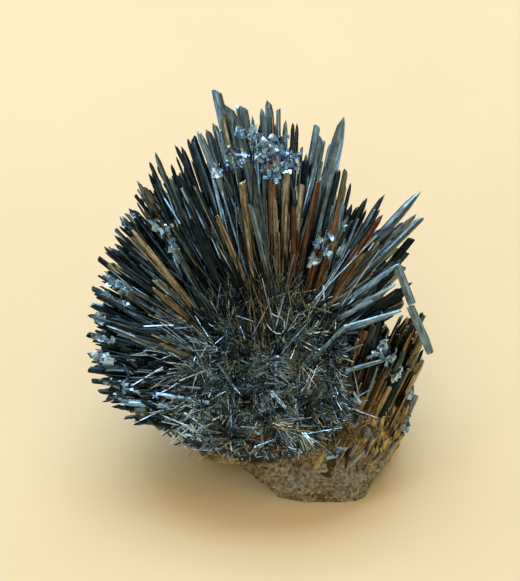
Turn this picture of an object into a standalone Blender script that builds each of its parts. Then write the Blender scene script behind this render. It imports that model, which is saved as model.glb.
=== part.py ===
"""Stibnite crystal spray on its matrix rock, at its real size.

Long metallic blades radiate from one heart, which is packed with a felt of fine needles. The open
face of the spray looks up and forwards. The brown matrix rock carries it, and a bundle of parallel
blades stands on the right of the rock. The rock is cut flat where the specimen rests.

Lengths are in millimetres until an object is made. A place on the spray is given as (across, up,
out): across the open face to the right, up the face, and out of it, all from the heart. The origin
is on the flat cut of the rock, straight below the heart.
"""

import math
import random
from typing import NamedTuple

import bmesh
import bpy
from mathutils import Matrix, Vector, noise

MM = 0.001

# The open face and the heart of the spray.
FACE_ELEVATION = math.radians(45)
HEART = Vector((0.0, 0.0, 39.5))
ACROSS = Vector((1.0, 0.0, 0.0))
UP_FACE = Vector((0.0, math.sin(FACE_ELEVATION), math.cos(FACE_ELEVATION)))
OUT = Vector((0.0, -math.cos(FACE_ELEVATION), math.sin(FACE_ELEVATION)))

# The gap that pieces keep where they touch.
GAP = 0.35

# How far the blades and the solid root reach, by bearing in degrees clockwise from straight up.
RIM = (
    # bearing, blades, root
    (-180, 27, 24.6), (-150, 29, 26.0), (-125, 36, 29.0), (-105, 44, 24.0), (-80, 46, 20.0),
    (-60, 48, 19.0), (-38, 53, 19.5), (-20, 57, 20.0), (-11, 64, 20.0), (0, 62, 20.0), (17, 58, 20.0),
    (26, 46, 19.0), (45, 50, 19.0), (56, 38, 18.5), (68, 28, 18.5), (90, 27, 20.0), (120, 26, 22.5),
    (150, 26, 24.0), (180, 27, 24.6),
)
BLADE_REACH = 1
ROOT_REACH = 2

# The solid root of the spray, a lump behind the open face, with the felt as its lumpy floor.
ROOT_CENTRE = Vector((0.0, -3.0, -13.0))
ROOT_SEGMENTS = 26
ROOT_RINGS = 16
ROOT_BACK_REACH = 19.0
FELT_FLOOR = -2.6
FELT_LUMP = 1.5
FELT_LUMP_SCALE = 0.23

# Thin blades are rhombic and broad ones six-sided.
BROAD_BLADE = 1.7
BLADE_THINNESS = 0.62
TIP_LENGTHS = {"point": 2.6, "chisel": 0.9, "broken": 0.12}


class Blade(NamedTuple):
    """One crystal: its tip and root as (across, up, out), its width, and how its end is shaped."""

    tip: tuple
    root: tuple
    width: float
    end: str = "point"


# The crown, from the left shoulder over the top to the right shoulder.
CROWN = (
    Blade((-22.0, 51.0, -8), (-9.5, 12, -7), 2.0),
    Blade((-20.8, 53.2, -12), (-7, 12, -9), 1.2),
    Blade((-19.5, 53.5, -9), (-5, 12, -6), 2.3, "chisel"),
    Blade((-18.0, 54.8, -7), (0, 12, -4), 2.0),
    Blade((-15.6, 55.6, -11), (-4, 12, -8), 1.6, "chisel"),
    Blade((-14.0, 57.3, -12), (-3, 12, -9), 1.6, "chisel"),
    Blade((-13.2, 65.2, -9), (-1, 12, -5), 2.6, "broken"),
    Blade((-10.6, 62.0, -8), (0, 12, -4), 2.4, "chisel"),
    Blade((-8.4, 58.5, -6), (1, 12, -3), 2.4, "chisel"),
    Blade((-7.8, 60.8, -11), (0.6, 12, -8), 1.8, "broken"),
    Blade((-2.0, 60.5, -9), (1, 12, -6), 1.7),
    Blade((0.0, 63.2, -11), (1.5, 12, -8), 1.9, "chisel"),
    Blade((2.1, 60.2, -9), (2, 12, -6), 1.3, "broken"),
    Blade((3.8, 57.5, -8), (3, 12, -5), 1.5),
    Blade((5.8, 57.0, -10), (3.5, 12, -7), 1.2),
    Blade((6.8, 56.6, -7), (4, 12, -4), 1.2),
    Blade((11.8, 56.2, -9), (4.2, 12, -6), 2.0, "broken"),
    Blade((13.5, 52.5, -11), (6, 12, -8), 1.3, "broken"),
    Blade((18.2, 58.4, -8), (8, 12, -5), 3.2),
    Blade((17.4, 45.0, -6), (9, 12, -4), 1.4),
    Blade((18.8, 45.0, -3), (12, 12, -3.4), 1.6, "chisel"),
    Blade((20.2, 41.8, -7), (13, 12, -6), 1.2),
)

# The right shoulder, which ends in two long blades.
RIGHT_SHOULDER = (
    Blade((24.2, 38.2, -8), (11, 11, -6), 1.9),
    Blade((28.5, 39.0, -7), (12, 11, -5), 2.1),
    Blade((27.8, 33.8, -4), (12, 10, -3.4), 1.7),
    Blade((37.5, 39.8, -6), (13, 12, -5), 2.6),
    Blade((37.8, 33.2, -4), (13, 9, -4), 2.0, "chisel"),
    Blade((33.2, 32.2, -9), (14, 9, -8), 1.5),
    Blade((35.6, 28.0, -10), (15, 3, -11), 2.4, "broken"),
    Blade((35.5, 17.0, -7), (13, 2, -8), 1.2),
    Blade((31.8, 21.6, 0), (11, 7, -4), 1.2),
    Blade((31.0, 16.5, 0), (11, 5, -4), 1.2),
    Blade((32.0, 10.0, 0), (11, 2, -4), 1.2, "broken"),
)

# The left side, from the shoulder down to the thin lower edge.
LEFT_SIDE = (
    Blade((-24.8, 46.5, -9), (-12.5, 12, -8), 1.2),
    Blade((-23.0, 43.8, -5), (-8, 12, -4), 1.8, "chisel"),
    Blade((-28.8, 49.5, -8), (-14, 12, -6), 1.5),
    Blade((-30.2, 47.2, -10), (-13, 8, -8), 1.2),
    Blade((-30.2, 44.2, -7), (-15, 9, -5), 1.2),
    Blade((-33.2, 42.5, -9), (-15, 8, -7), 1.6),
    Blade((-31.2, 40.8, -5), (-14, 8, -4), 1.4, "chisel"),
    Blade((-35.2, 35.5, -8), (-16, 8, -7), 1.3),
    Blade((-37.8, 33.5, -10), (-16, 7, -9), 1.3),
    Blade((-38.8, 28.8, -7), (-16, 5, -6), 1.5),
    Blade((-41.5, 25.8, -7), (-16, 4, -6), 1.4),
    Blade((-43.0, 23.0, -9), (-16, 2, -8), 2.3, "broken"),
    Blade((-41.8, 19.0, -5), (-16, 1, -4), 1.2),
    Blade((-44.4, 15.5, -7), (-16, 0, -6), 2.4, "broken"),
    Blade((-44.8, 12.0, -9), (-16, -1, -8), 1.4),
    Blade((-45.4, 9.0, -6), (-16, -2, -5), 2.0, "broken"),
    Blade((-45.6, 4.0, -7), (-17, -4, -6), 2.8, "broken"),
    Blade((-46.0, -1.0, -6), (-18, -6, -5), 3.0, "broken"),
    Blade((-45.4, -4.8, -8), (-18, -8, -7), 2.8, "broken"),
    Blade((-44.4, -7.6, -6), (-18, -10, -6), 2.2, "broken"),
    Blade((-43.0, -10.2, -5), (-17, -11, -6), 2.2, "chisel"),
    Blade((-40.6, -11.8, -6), (-16, -13, -6), 2.0, "broken"),
    Blade((-37.6, -12.6, -3.4), (-16, -13, -4), 2.0, "chisel"),
    Blade((-36.2, -14.2, -5), (-14, -15, -5), 2.2, "broken"),
    Blade((-33.6, -15.4, -3.6), (-13, -15, -4.4), 2.0, "chisel"),
    Blade((-33.2, -16.2, -5), (-12, -16, -5), 2.2, "broken"),
    Blade((-31.0, -17.8, -4), (-12, -16, -5), 2.0, "chisel"),
    Blade((-28.6, -18.9, -5), (-11, -17, -6), 2.4, "broken"),
    Blade((-26.6, -19.0, -4), (-11, -16, -5), 2.2, "chisel"),
    Blade((-24.2, -20.6, -4.4), (-9, -17, -6), 2.8, "broken"),
)

# Shorter blades that stand in front of the rest, round the felted heart.
INNER_RING = (
    Blade((-34.2, 30.0, -2), (-15, 6, -4), 1.6),
    Blade((-29.0, 15.8, 0), (-15, 3, -3.4), 1.5),
    Blade((-27.4, 3.8, 1), (-13, -2, -3.4), 1.4),
    Blade((-40.6, 6.2, -2), (-16, -4, -4), 1.4),
    Blade((-27.2, 2.0, 2), (-13, -5, -4), 1.4, "chisel"),
    Blade((-20.0, 37.0, -2), (-9, 10, -4), 1.6),
    Blade((-17.5, 28.0, 0), (-9, 8, -4), 1.4),
    Blade((-13.0, 33.4, 1), (-3, 10, -4), 1.5, "broken"),
    Blade((-10.0, 45.0, -3), (-2, 12, -4), 1.7),
    Blade((-6.8, 41.6, 0), (-3, 10, -4), 2.1, "broken"),
    Blade((-5.0, 36.4, 2), (2, 9, -4), 1.7, "chisel"),
    Blade((0.4, 46.0, -3), (1, 12, -4), 2.0, "broken"),
    Blade((4.0, 44.0, -2), (3, 12, -4), 2.0, "broken"),
    Blade((1.0, 38.0, 1), (2, 10, -4), 1.5),
    Blade((5.6, 36.0, 2), (6, 9, -4), 1.5),
    Blade((8.0, 41.0, -1), (5, 11, -4), 1.7, "broken"),
    Blade((11.8, 41.8, -1), (6, 11, -4), 1.8, "broken"),
    Blade((12.6, 30.0, 1), (7, 8, -4), 1.6),
    Blade((17.0, 35.0, 0), (9, 9, -4), 1.6),
    Blade((22.5, 24.6, 1), (11, 7, -4), 1.6, "chisel"),
    Blade((27.0, 27.0, -2), (12, 8, -4), 1.7),
    Blade((18.8, 6.4, 1.5), (9, -2, -4), 1.3, "broken"),
)


class Fan(NamedTuple):
    """A seeded spread of blades: bearings in degrees, share of the rim's reach, and depth behind it."""

    count: int
    seed: int
    bearings: tuple
    share: tuple
    splay: tuple
    width: tuple


# Splay is the angle between a blade and the way out of the face: past 90 it runs backwards.
FILLING_FAN = Fan(27, 5, (-78, 58), (0.66, 0.9), (88, 100), (1.3, 2.0))
REAR_FAN = Fan(80, 11, (-125, 125), (0.62, 0.96), (99, 138), (1.8, 3.2))
LOWEST_REAR_TIP = 21.0

FAN_CENTRE_OUT = -5.0
FAN_ROOT_OUT = -6.0
FAN_ROOT_REACH = 12.0
FAN_SHAKE = 3.0
FAN_SHORTEST = 0.92
FAN_ENDS = ("point", "point", "chisel", "broken")

# Short needles that lie crossed on the felt, and how steeply they stand out of it.
FELT_NEEDLES = 34
FELT_SEED = 3
FELT_MIDDLE_UP = -5.5
FELT_REACH = (16.5, 18.0)
FELT_NEEDLE_LENGTH = (6.0, 10.0)
FELT_NEEDLE_WIDTH = (0.8, 1.2)
FELT_RISE = (0.2, 0.45)

# Steps of the golden section spread any number of things evenly, over a range or a disc.
GOLDEN_STEP = 0.618034
GOLDEN_ANGLE = 2.39996

# The side bundle: parallel blades on the right, given by their tips on the face, in one root.
SIDE_LEAN = Vector((0.40, 0.38, 0.83)).normalized()
SIDE_ROOT = (
    (15, -6, 17), (16, 12, 17), (31.0, -3.5, 16), (34.0, 10.0, 17), (16, -4, 28), (17, 10, 29),
    (31.0, -2.0, 22.5), (35.0, 8.0, 24.0), (26.0, -3.5, 25.0), (28.0, 9.5, 28.0),
)
SIDE_BLADES = (
    # across, up, out, length, width, end
    (19.0, 1.2, -3.0, 9, 1.8, "point"), (21.0, 3.4, -4.0, 12, 2.0, "chisel"),
    (23.5, 6.2, -4.0, 14, 2.0, "point"), (25.4, 5.8, -7.0, 18, 3.0, "broken"),
    (27.4, 7.4, -7.5, 20, 2.8, "chisel"), (29.0, 8.8, -9.0, 22, 2.2, "point"),
    (34.6, 8.4, -8.5, 23, 2.6, "chisel"), (35.8, 5.8, -6.0, 22, 3.0, "broken"),
    (37.8, 6.8, -9.5, 23, 2.4, "point"), (38.6, 9.4, -11.0, 25, 1.8, "point"),
    (38.0, 3.2, -7.0, 21, 2.6, "broken"), (37.4, 0.4, -8.0, 18, 2.8, "chisel"),
    (38.6, -2.4, -9.5, 18, 2.0, "broken"), (34.0, 1.0, -7.0, 18, 3.2, "broken"),
    (31.6, 0.6, -6.0, 17, 3.0, "chisel"), (29.6, -1.0, -5.5, 15, 3.0, "broken"),
    (36.4, -6.0, -9.5, 15, 3.0, "broken"), (33.2, -4.6, -7.5, 14, 3.0, "chisel"),
    (26.0, -2.0, -5.0, 13, 3.0, "broken"), (22.6, -4.0, -4.5, 11, 2.8, "chisel"),
    (29.4, -7.0, -8.5, 13, 3.0, "broken"),
)

# Blades that snapped off and lie across the others, and one that grew bent.
LOOSE_BLADES = {
    "loose_blade_upper": Blade((31.2, 20.9, 0.9), (34.8, 11.9, -1.8), 1.6, "broken"),
    "loose_blade_lower": Blade((34.4, 10.9, -2.2), (40.0, -0.6, -6.6), 1.7, "broken"),
    "loose_needle_left": Blade((-28.5, -10.7, -2.5), (-15.0, -12.8, -0.5), 1.1, "broken"),
    "loose_needle_low": Blade((-35.5, -13.0, -2.3), (-24.5, -13.8, -2.3), 1.0, "broken"),
}
BENT_NEEDLE = ((10.6, -2.0, -1.1), (18.0, 5.9, 2.5), (31.8, 9.8, 1.0))
BENT_NEEDLE_WIDTH = 1.0

# The matrix rock: boulders hulled from their corners as (x, y, z), joined in one, which start
# below the level of the flat cut that the rock rests on.
ROCK_DEPTH = -4.0
ROCK_FOOT = (
    (0.0, -3.0, ROCK_DEPTH), (4, -10.5, ROCK_DEPTH), (26, -4, ROCK_DEPTH), (29, 6, ROCK_DEPTH),
    (27, 16, ROCK_DEPTH), (17, 23, ROCK_DEPTH), (2, 25, ROCK_DEPTH), (-11, 20, ROCK_DEPTH),
    (-18, 12, ROCK_DEPTH), (-13, 5, ROCK_DEPTH),
    (-4.0, -8.0, 12), (-14, -3, 11), (-21, 6, 12), (-20, 18, 12), (-8, 26, 12), (7, 28, 12),
    (22, 24, 11), (31, 14, 12), (33, 4, 10),
    (-7, -11, 17), (-15, -7, 18), (-19, 4, 21), (-15, 14, 21), (-6, 19, 21), (8, 20, 21), (20, 16, 21),
    (28, 10, 21), (29, 0, 19), (14, -9, 18),
)
ROCK_CHUNK = (
    (2.6, -15.2, ROCK_DEPTH), (22.4, -15.5, ROCK_DEPTH), (26, -3, ROCK_DEPTH), (4, -2, ROCK_DEPTH),
    (-3.8, -14.2, 9.6), (0.0, -15.6, 4.0), (23.8, -15.4, 5.0), (28.4, -9.6, 8.0), (32.0, -4.6, 12.0),
    (-4.0, -12.0, 12.0), (8, -15.4, 12.0), (18, -15.4, 12.0), (24, -11.5, 15.0), (33.0, -2.0, 18.0),
    (12, -12, 19.0), (-1, -9, 16.0), (20, -7, 20.0), (34.0, 6.0, 20.0), (28, 8, 20),
)
# The shelf under the front rim, as (across, up, out).
ROCK_SHELF = (
    (-22.0, -21.6, -5.0), (-20.0, -25.6, -4.4), (-16.0, -28.2, -4.0), (-8, -29.0, -3.4), (2, -28.8, -3.4),
    (10, -27.4, -4.0), (16, -24, -5.0), (-19, -20, -10), (-14, -25, -11), (-4, -27, -11), (8, -25, -11),
    (16, -20, -10), (-12, -14, -14), (10, -12, -14),
)
ROCK_GRID = 2.0
ROCK_KEPT = 0.25
ROCK_LUMP = 1.9
ROCK_LUMP_SCALE = 0.14
ROCK_PIT = 0.7
ROCK_PIT_SCALE = 0.42
ROCK_PIT_EDGE = 0.3

# Brown splinters of the same parallel blades, grown into the rock, by their tips on the face.
SPLINTERS = (
    # across, up, out, length, width
    (18.6, -21.0, -9.6, 12, 2.6), (21.4, -17.6, -9.8, 14, 2.8), (24.0, -13.6, -10.0, 16, 2.8),
    (26.6, -10.4, -10.2, 18, 2.8), (23.4, -22.6, -11.0, 12, 2.6), (26.4, -18.8, -11.2, 14, 2.8),
    (29.0, -14.8, -11.4, 16, 3.0), (31.6, -10.8, -11.0, 18, 3.0), (28.4, -23.4, -12.6, 12, 2.6),
    (31.4, -19.6, -12.8, 14, 2.8), (34.0, -15.4, -12.8, 16, 3.0), (36.6, -11.4, -12.6, 18, 2.6),
    (31.6, -21.8, -14.0, 10, 2.6), (34.0, -18.2, -13.8, 11, 2.8),
)
FLOOR_CUTTER = (200.0, 200.0, 40.0)

# How far off the middle the peak of a chisel end and of a broken end lies, in widths.
CHISEL_SHIFT = 0.25
BROKEN_SHIFT = 0.35

# How neighbours are turned about their own lengths, in radians, so that their flats differ.
FACE_TURNS = (-0.7, -0.35, 0.0, 0.35, 0.7)
SIDE_TURN = 0.5
SPLINTER_TURN = 0.7


def face_point(across, up, out):
    """A place given on the open face, as a point in millimetres."""
    return HEART + ACROSS * across + UP_FACE * up + OUT * out


def rim_at(bearing, column):
    """A reach at a bearing, in straight lines between the values in a column of RIM."""
    bearing = (bearing + 180) % 360 - 180
    for low, high in zip(RIM, RIM[1:]):
        if low[0] <= bearing <= high[0]:
            return low[column] + (high[column] - low[column]) * (bearing - low[0]) / (high[0] - low[0])
    return RIM[-1][column]


def new_material(name, colour, roughness, metallic):
    """A plain finish of one linear colour."""
    material = bpy.data.materials.new(name)
    material.use_nodes = True
    shader = material.node_tree.nodes["Principled BSDF"]
    shader.inputs["Base Color"].default_value = (*colour, 1.0)
    shader.inputs["Roughness"].default_value = roughness
    shader.inputs["Metallic"].default_value = metallic
    return material


def new_object(name, shape, collection, material=None):
    """A mesh object from a bmesh in millimetres, which is freed."""
    bmesh.ops.recalc_face_normals(shape, faces=shape.faces)
    bmesh.ops.scale(shape, vec=(MM, MM, MM), verts=shape.verts)
    mesh = bpy.data.meshes.new(name)
    shape.to_mesh(mesh)
    shape.free()
    if material:
        mesh.materials.append(material)
    made = bpy.data.objects.new(name, mesh)
    collection.objects.link(made)
    return made


def crystal(root, tip, width, end, twist):
    """A flattened six-sided crystal from root to tip, with a pointed, chisel or broken end."""
    shape = bmesh.new()
    length = (tip - root).length
    tip_length = min(TIP_LENGTHS[end] * width, 0.4 * length)
    straight = length - tip_length
    sides = 6 if width >= BROAD_BLADE else 4
    bmesh.ops.create_cone(shape, cap_ends=True, segments=sides, radius1=0.5, radius2=0.5, depth=straight)
    bmesh.ops.translate(shape, verts=shape.verts, vec=(0, 0, straight / 2))
    top = max(shape.faces, key=lambda face: face.calc_center_median().z)
    peak = bmesh.ops.poke(shape, faces=[top])["verts"][0]
    peak.co.z += tip_length
    if end == "chisel":
        peak.co.x += CHISEL_SHIFT
    if end == "broken":
        peak.co.x += BROKEN_SHIFT
    bmesh.ops.scale(shape, verts=shape.verts, vec=(width, BLADE_THINNESS * width, 1))
    turn = (tip - root).to_track_quat("Z", "Y").to_matrix().to_4x4()
    spin = Matrix.Rotation(twist, 4, "Z")
    bmesh.ops.transform(shape, verts=shape.verts, matrix=Matrix.Translation(root) @ turn @ spin)
    return shape


def face_twist(run):
    """The turn about a blade's own length that lays its broad side along the open face."""
    out = run.to_track_quat("Z", "Y").to_matrix().transposed() @ OUT
    return math.atan2(out.y, out.x) - math.pi / 2


def blade_object(name, blade, collection, material=None, turn=0.0):
    """One crystal as an object of its own, with its broad side turned from the open face."""
    root, tip = face_point(*blade.root), face_point(*blade.tip)
    shape = crystal(root, tip, blade.width, blade.end, face_twist(tip - root) + turn)
    return new_object(name, shape, collection, material)


def fan_blades(fan, lowest_tip=-math.inf):
    """Blades of a fan, spread evenly by the golden section and then shaken a little."""
    chance = random.Random(fan.seed)
    first, last = fan.bearings
    found = []
    for number in range(fan.count):
        bearing = first + (last - first) * ((number * GOLDEN_STEP) % 1.0)
        depth = (number + 0.5) / fan.count
        angle = fan.splay[0] + (fan.splay[1] - fan.splay[0]) * depth
        splay = math.radians(angle + chance.uniform(-FAN_SHAKE, FAN_SHAKE))
        share = fan.share[1] + (fan.share[0] - fan.share[1]) * depth
        reach = rim_at(bearing, BLADE_REACH) * share * chance.uniform(FAN_SHORTEST, 1.0)
        turn = math.radians(bearing)
        side = math.sin(splay)
        heading = Vector((math.sin(turn) * side, math.cos(turn) * side, math.cos(splay)))
        tip = heading * reach + Vector((0, 0, FAN_CENTRE_OUT))
        root = heading * FAN_ROOT_REACH + Vector((0, 0, FAN_ROOT_OUT))
        end = chance.choice(FAN_ENDS)
        width = chance.uniform(*fan.width)
        if face_point(*tip).z >= lowest_tip:
            found.append(Blade(tuple(tip), tuple(root), width, end))
    return found


def felt_needles():
    """Short needles strewn over the felt, each nearly in the face and turned any way."""
    chance = random.Random(FELT_SEED)
    found = []
    for number in range(FELT_NEEDLES):
        spread = math.sqrt((number + 0.5) / FELT_NEEDLES)
        around = number * GOLDEN_ANGLE
        across = FELT_REACH[0] * spread * math.sin(around)
        up = FELT_REACH[1] * spread * math.cos(around)
        middle = Vector((across, up + FELT_MIDDLE_UP, FELT_FLOOR))
        heading = Vector((chance.uniform(-1, 1), chance.uniform(-1, 1), chance.uniform(*FELT_RISE)))
        heading.normalize()
        half = heading * chance.uniform(*FELT_NEEDLE_LENGTH) / 2
        width = chance.uniform(*FELT_NEEDLE_WIDTH)
        found.append(Blade(tuple(middle + half), tuple(middle - half), width, "chisel"))
    return found


def root_lump(collection):
    """The solid root: a faceted ball drawn out towards the rim, with the felt as its floor."""
    shape = bmesh.new()
    bmesh.ops.create_uvsphere(shape, u_segments=ROOT_SEGMENTS, v_segments=ROOT_RINGS, radius=1.0)
    for corner in shape.verts:
        heading = corner.co.normalized()
        bearing = math.degrees(math.atan2(heading.x, heading.y))
        rim = rim_at(bearing, ROOT_REACH)
        flat = math.hypot(heading.x, heading.y) / rim
        back = min(heading.z, 0.0) / ROOT_BACK_REACH
        nearness = math.hypot(flat, back)
        side = 1.0 / nearness if nearness else math.inf
        if heading.z > 0:
            side = min(side, (FELT_FLOOR - ROOT_CENTRE.z) / heading.z)
        place = ROOT_CENTRE + heading * side
        lump = noise.noise(place * FELT_LUMP_SCALE)
        place += heading * FELT_LUMP * lump
        corner.co = face_point(*place)
    return new_object("root_lump", shape, collection)


def side_bundle(collection):
    """The parallel side blades and the root that they stand in, as separate objects."""
    made = [hull_object("side_root", SIDE_ROOT, collection)]
    for number, (across, up, out, length, width, end) in enumerate(SIDE_BLADES):
        tip = face_point(across, up, out)
        shape = crystal(tip - SIDE_LEAN * length, tip, width, end, SIDE_TURN * number)
        made.append(new_object(f"side_blade_{number}", shape, collection))
    return made


def baked(source, name, collection, material):
    """A plain mesh object from what the modifiers of source make."""
    bpy.context.view_layer.update()
    graph = bpy.context.evaluated_depsgraph_get()
    mesh = bpy.data.meshes.new_from_object(source.evaluated_get(graph))
    mesh.name = name
    mesh.materials.clear()
    mesh.materials.append(material)
    made = bpy.data.objects.new(name, mesh)
    collection.objects.link(made)
    return made


def united(base, others, name, collection, material):
    """The base joined with other objects into one closed mesh object."""
    group = bpy.data.collections.new(name + "_parts")
    for other in others:
        group.objects.link(other)
    joint = base.modifiers.new("joined", "BOOLEAN")
    joint.operation = "UNION"
    joint.operand_type = "COLLECTION"
    joint.collection = group
    joint.solver = "EXACT"
    return baked(base, name, collection, material)


def hull_object(name, corners, collection):
    """A boulder: the hull of its corners."""
    shape = bmesh.new()
    for corner in corners:
        shape.verts.new(corner)
    bmesh.ops.convex_hull(shape, input=shape.verts, use_existing_faces=False)
    inner = [corner for corner in shape.verts if not corner.link_faces]
    bmesh.ops.delete(shape, geom=inner, context="VERTS")
    return new_object(name, shape, collection)


def weathered(source, collection, material):
    """A rock with its edges worn round, lumps and pits in its faces, and then fewer facets."""
    grid = source.modifiers.new("worn", "REMESH")
    grid.mode = "VOXEL"
    grid.voxel_size = ROCK_GRID * MM
    worn = baked(source, source.name + "_worn", collection, material)
    shape = bmesh.new()
    shape.from_mesh(worn.data)
    shape.normal_update()
    for corner in shape.verts:
        place = corner.co / MM
        lump = ROCK_LUMP * noise.noise(place * ROCK_LUMP_SCALE)
        pit = ROCK_PIT * (ROCK_PIT_EDGE - abs(noise.noise(place * ROCK_PIT_SCALE)))
        corner.co += corner.normal * (lump + pit) * MM
    shape.to_mesh(worn.data)
    shape.free()
    fewer = worn.modifiers.new("fewer_facets", "DECIMATE")
    fewer.ratio = ROCK_KEPT
    return baked(worn, source.name + "_weathered", collection, material)


def swollen(source, margin, collection):
    """A copy of an object that stands out from it all round by a margin."""
    shape = bmesh.new()
    shape.from_mesh(source.data)
    shape.normal_update()
    for corner in shape.verts:
        corner.co += corner.normal * corner.calc_shell_factor() * margin * MM
    mesh = bpy.data.meshes.new(source.name + "_swollen")
    shape.to_mesh(mesh)
    shape.free()
    made = bpy.data.objects.new(mesh.name, mesh)
    collection.objects.link(made)
    return made


def splinters(collection):
    """Brown blades that stand in the rock."""
    made = []
    for number, (across, up, out, length, width) in enumerate(SPLINTERS):
        tip = face_point(across, up, out)
        shape = crystal(tip - SIDE_LEAN * length, tip, width, "chisel", SPLINTER_TURN * number)
        made.append(new_object(f"splinter_{number}", shape, collection))
    return made


def cut(target, cutter, solver="EXACT"):
    """Takes a cutter away from an object."""
    taken = target.modifiers.new("cut_" + cutter.name, "BOOLEAN")
    taken.operation = "DIFFERENCE"
    taken.object = cutter
    taken.solver = solver


def build_matrix(parts, tools, material):
    """The brown rock with its splinters, and a swollen copy to fit the crystals with."""
    foot = hull_object("rock_foot", ROCK_FOOT, tools)
    shelf = [face_point(*corner) for corner in ROCK_SHELF]
    boulders = [hull_object("rock_chunk", ROCK_CHUNK, tools), hull_object("rock_shelf", shelf, tools)]
    rock = weathered(united(foot, boulders, "rock", tools, material), tools, material)
    grown_in = splinters(tools)
    room = [swollen(splinter, GAP, tools) for splinter in grown_in]
    rock_space = united(swollen(rock, GAP, tools), room, "rock_space", tools, material)
    shape = bmesh.new()
    bmesh.ops.create_cube(shape, size=1.0)
    bmesh.ops.scale(shape, verts=shape.verts, vec=FLOOR_CUTTER)
    bmesh.ops.translate(shape, verts=shape.verts, vec=(0, 0, -FLOOR_CUTTER[2] / 2))
    below = new_object("below_floor", shape, tools)
    cut(united(rock, grown_in, "matrix_rock", parts, material), below)
    return rock_space


def build_spray(parts, tools, material, rock_space):
    """All the crystals that grew together, as one solid that is fitted to the rock."""
    base = root_lump(tools)
    fans = [*fan_blades(FILLING_FAN), *fan_blades(REAR_FAN, LOWEST_REAR_TIP)]
    blades = [*CROWN, *RIGHT_SHOULDER, *LEFT_SIDE, *INNER_RING, *fans, *felt_needles()]
    others = side_bundle(tools)
    for number, blade in enumerate(blades):
        turn = FACE_TURNS[number % len(FACE_TURNS)]
        others.append(blade_object(f"blade_{number:03d}", blade, tools, None, turn))
    whole = united(base, others, "crystal_spray", parts, material)
    # The exact solver leaves nothing of a piece with this many crossing blades.
    cut(whole, rock_space, "MANIFOLD")


def build_loose(parts, tools, material):
    """Snapped blades that lie on the spray, and one that grew bent."""
    for name, blade in LOOSE_BLADES.items():
        blade_object(name, blade, parts, material)
    start, bend, end = BENT_NEEDLE
    lower = blade_object("bent_lower", Blade(bend, start, BENT_NEEDLE_WIDTH, "broken"), tools)
    upper = blade_object("bent_upper", Blade(end, bend, BENT_NEEDLE_WIDTH), tools)
    united(lower, [upper], "loose_needle_bent", parts, material)


def main():
    """Empties the scene and builds every piece, the rock first because the crystals are fitted to it."""
    for old in list(bpy.data.objects):
        bpy.data.objects.remove(old)
    parts = bpy.data.collections.new("stibnite_spray")
    tools = bpy.data.collections.new("stibnite_spray_tools")
    bpy.context.scene.collection.children.link(parts)
    bpy.context.scene.collection.children.link(tools)
    steel = new_material("stibnite", (0.16, 0.17, 0.19), 0.3, 1.0)
    brown = new_material("matrix", (0.20, 0.14, 0.08), 0.85, 0.0)
    rock_space = build_matrix(parts, tools, brown)
    build_spray(parts, tools, steel, rock_space)
    build_loose(parts, tools, steel)
    for helper in tools.objects:
        helper.hide_render = True
        helper.display_type = "WIRE"


main()
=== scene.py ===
"""Looks of the stibnite crystal spray: its blades, its felted heart, its glittering druse and its rock.

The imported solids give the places. Each group of crystals is lofted here in its finest detail and
stands for the solid that it belongs to. Lengths in the tables are in millimetres, and places on the
spray are given as (across, up, out): across the open face to the right, up it, and out of it, all
from the heart. Meshes are made in metres.
"""

import logging
import math
from collections.abc import Sequence
from dataclasses import dataclass
from enum import Enum
from typing import NamedTuple

import bmesh
import bpy
import numpy as np
from mathutils import Matrix, Vector


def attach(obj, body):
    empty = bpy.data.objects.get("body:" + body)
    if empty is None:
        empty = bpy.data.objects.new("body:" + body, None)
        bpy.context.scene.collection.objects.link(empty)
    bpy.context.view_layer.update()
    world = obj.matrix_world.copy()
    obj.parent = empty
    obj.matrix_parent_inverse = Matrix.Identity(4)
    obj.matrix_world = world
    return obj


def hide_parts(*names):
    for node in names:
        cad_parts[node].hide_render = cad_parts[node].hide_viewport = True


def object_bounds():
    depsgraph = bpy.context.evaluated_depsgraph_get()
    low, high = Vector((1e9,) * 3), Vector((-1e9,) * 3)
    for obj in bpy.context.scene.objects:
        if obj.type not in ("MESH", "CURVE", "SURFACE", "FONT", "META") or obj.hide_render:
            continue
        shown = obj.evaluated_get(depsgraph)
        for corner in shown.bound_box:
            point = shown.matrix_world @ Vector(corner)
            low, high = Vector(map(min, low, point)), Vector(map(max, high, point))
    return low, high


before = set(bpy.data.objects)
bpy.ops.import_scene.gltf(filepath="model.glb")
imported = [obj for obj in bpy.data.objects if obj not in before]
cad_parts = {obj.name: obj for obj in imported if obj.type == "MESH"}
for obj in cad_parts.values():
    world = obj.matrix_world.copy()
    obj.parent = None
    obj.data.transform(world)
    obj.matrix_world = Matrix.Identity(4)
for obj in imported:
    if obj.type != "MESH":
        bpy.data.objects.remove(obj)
cad_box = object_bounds()

log = logging.getLogger("stibnite_spray")

# Short names of types: a place or point, a pair of numbers, the source of the random draws, and a
# material's nodes.
Triple = tuple[float, float, float]
Pair = tuple[float, float]
Chance = np.random.Generator
Tree = bpy.types.NodeTree

MM = 0.001
BODY = "root"

# Steps of the golden section, as a share of a span and as a turn: numbers in a row never line up.
GOLDEN_STEP = 0.618034
GOLDEN_TURN = 2.39996
# Lengths and slopes below this count as none.
TINY = 1e-9


class End(Enum):
    """How a crystal ends. The value is its row in END_SHAPES."""

    POINT = 0
    CHISEL = 1
    BROKEN = 2


class Tone(Enum):
    """A crystal's tone, as its place on the blade finish's colour ramp: partly iron stain, and partly
    painted reflection where the tone is steel or blue.
    """

    DARK = 0.05
    STEEL = 0.2
    BLUE = 0.35
    OLIVE = 0.5
    TAN = 0.65
    RED = 0.8
    ORANGE = 0.95


class Blade(NamedTuple):
    """One crystal: tip and root as (across, up, out), width, how it ends, and its tone of stain and
    painted reflection.
    """

    tip: Triple
    root: Triple
    width: float
    end: End = End.POINT
    tone: Tone = Tone.DARK


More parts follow.
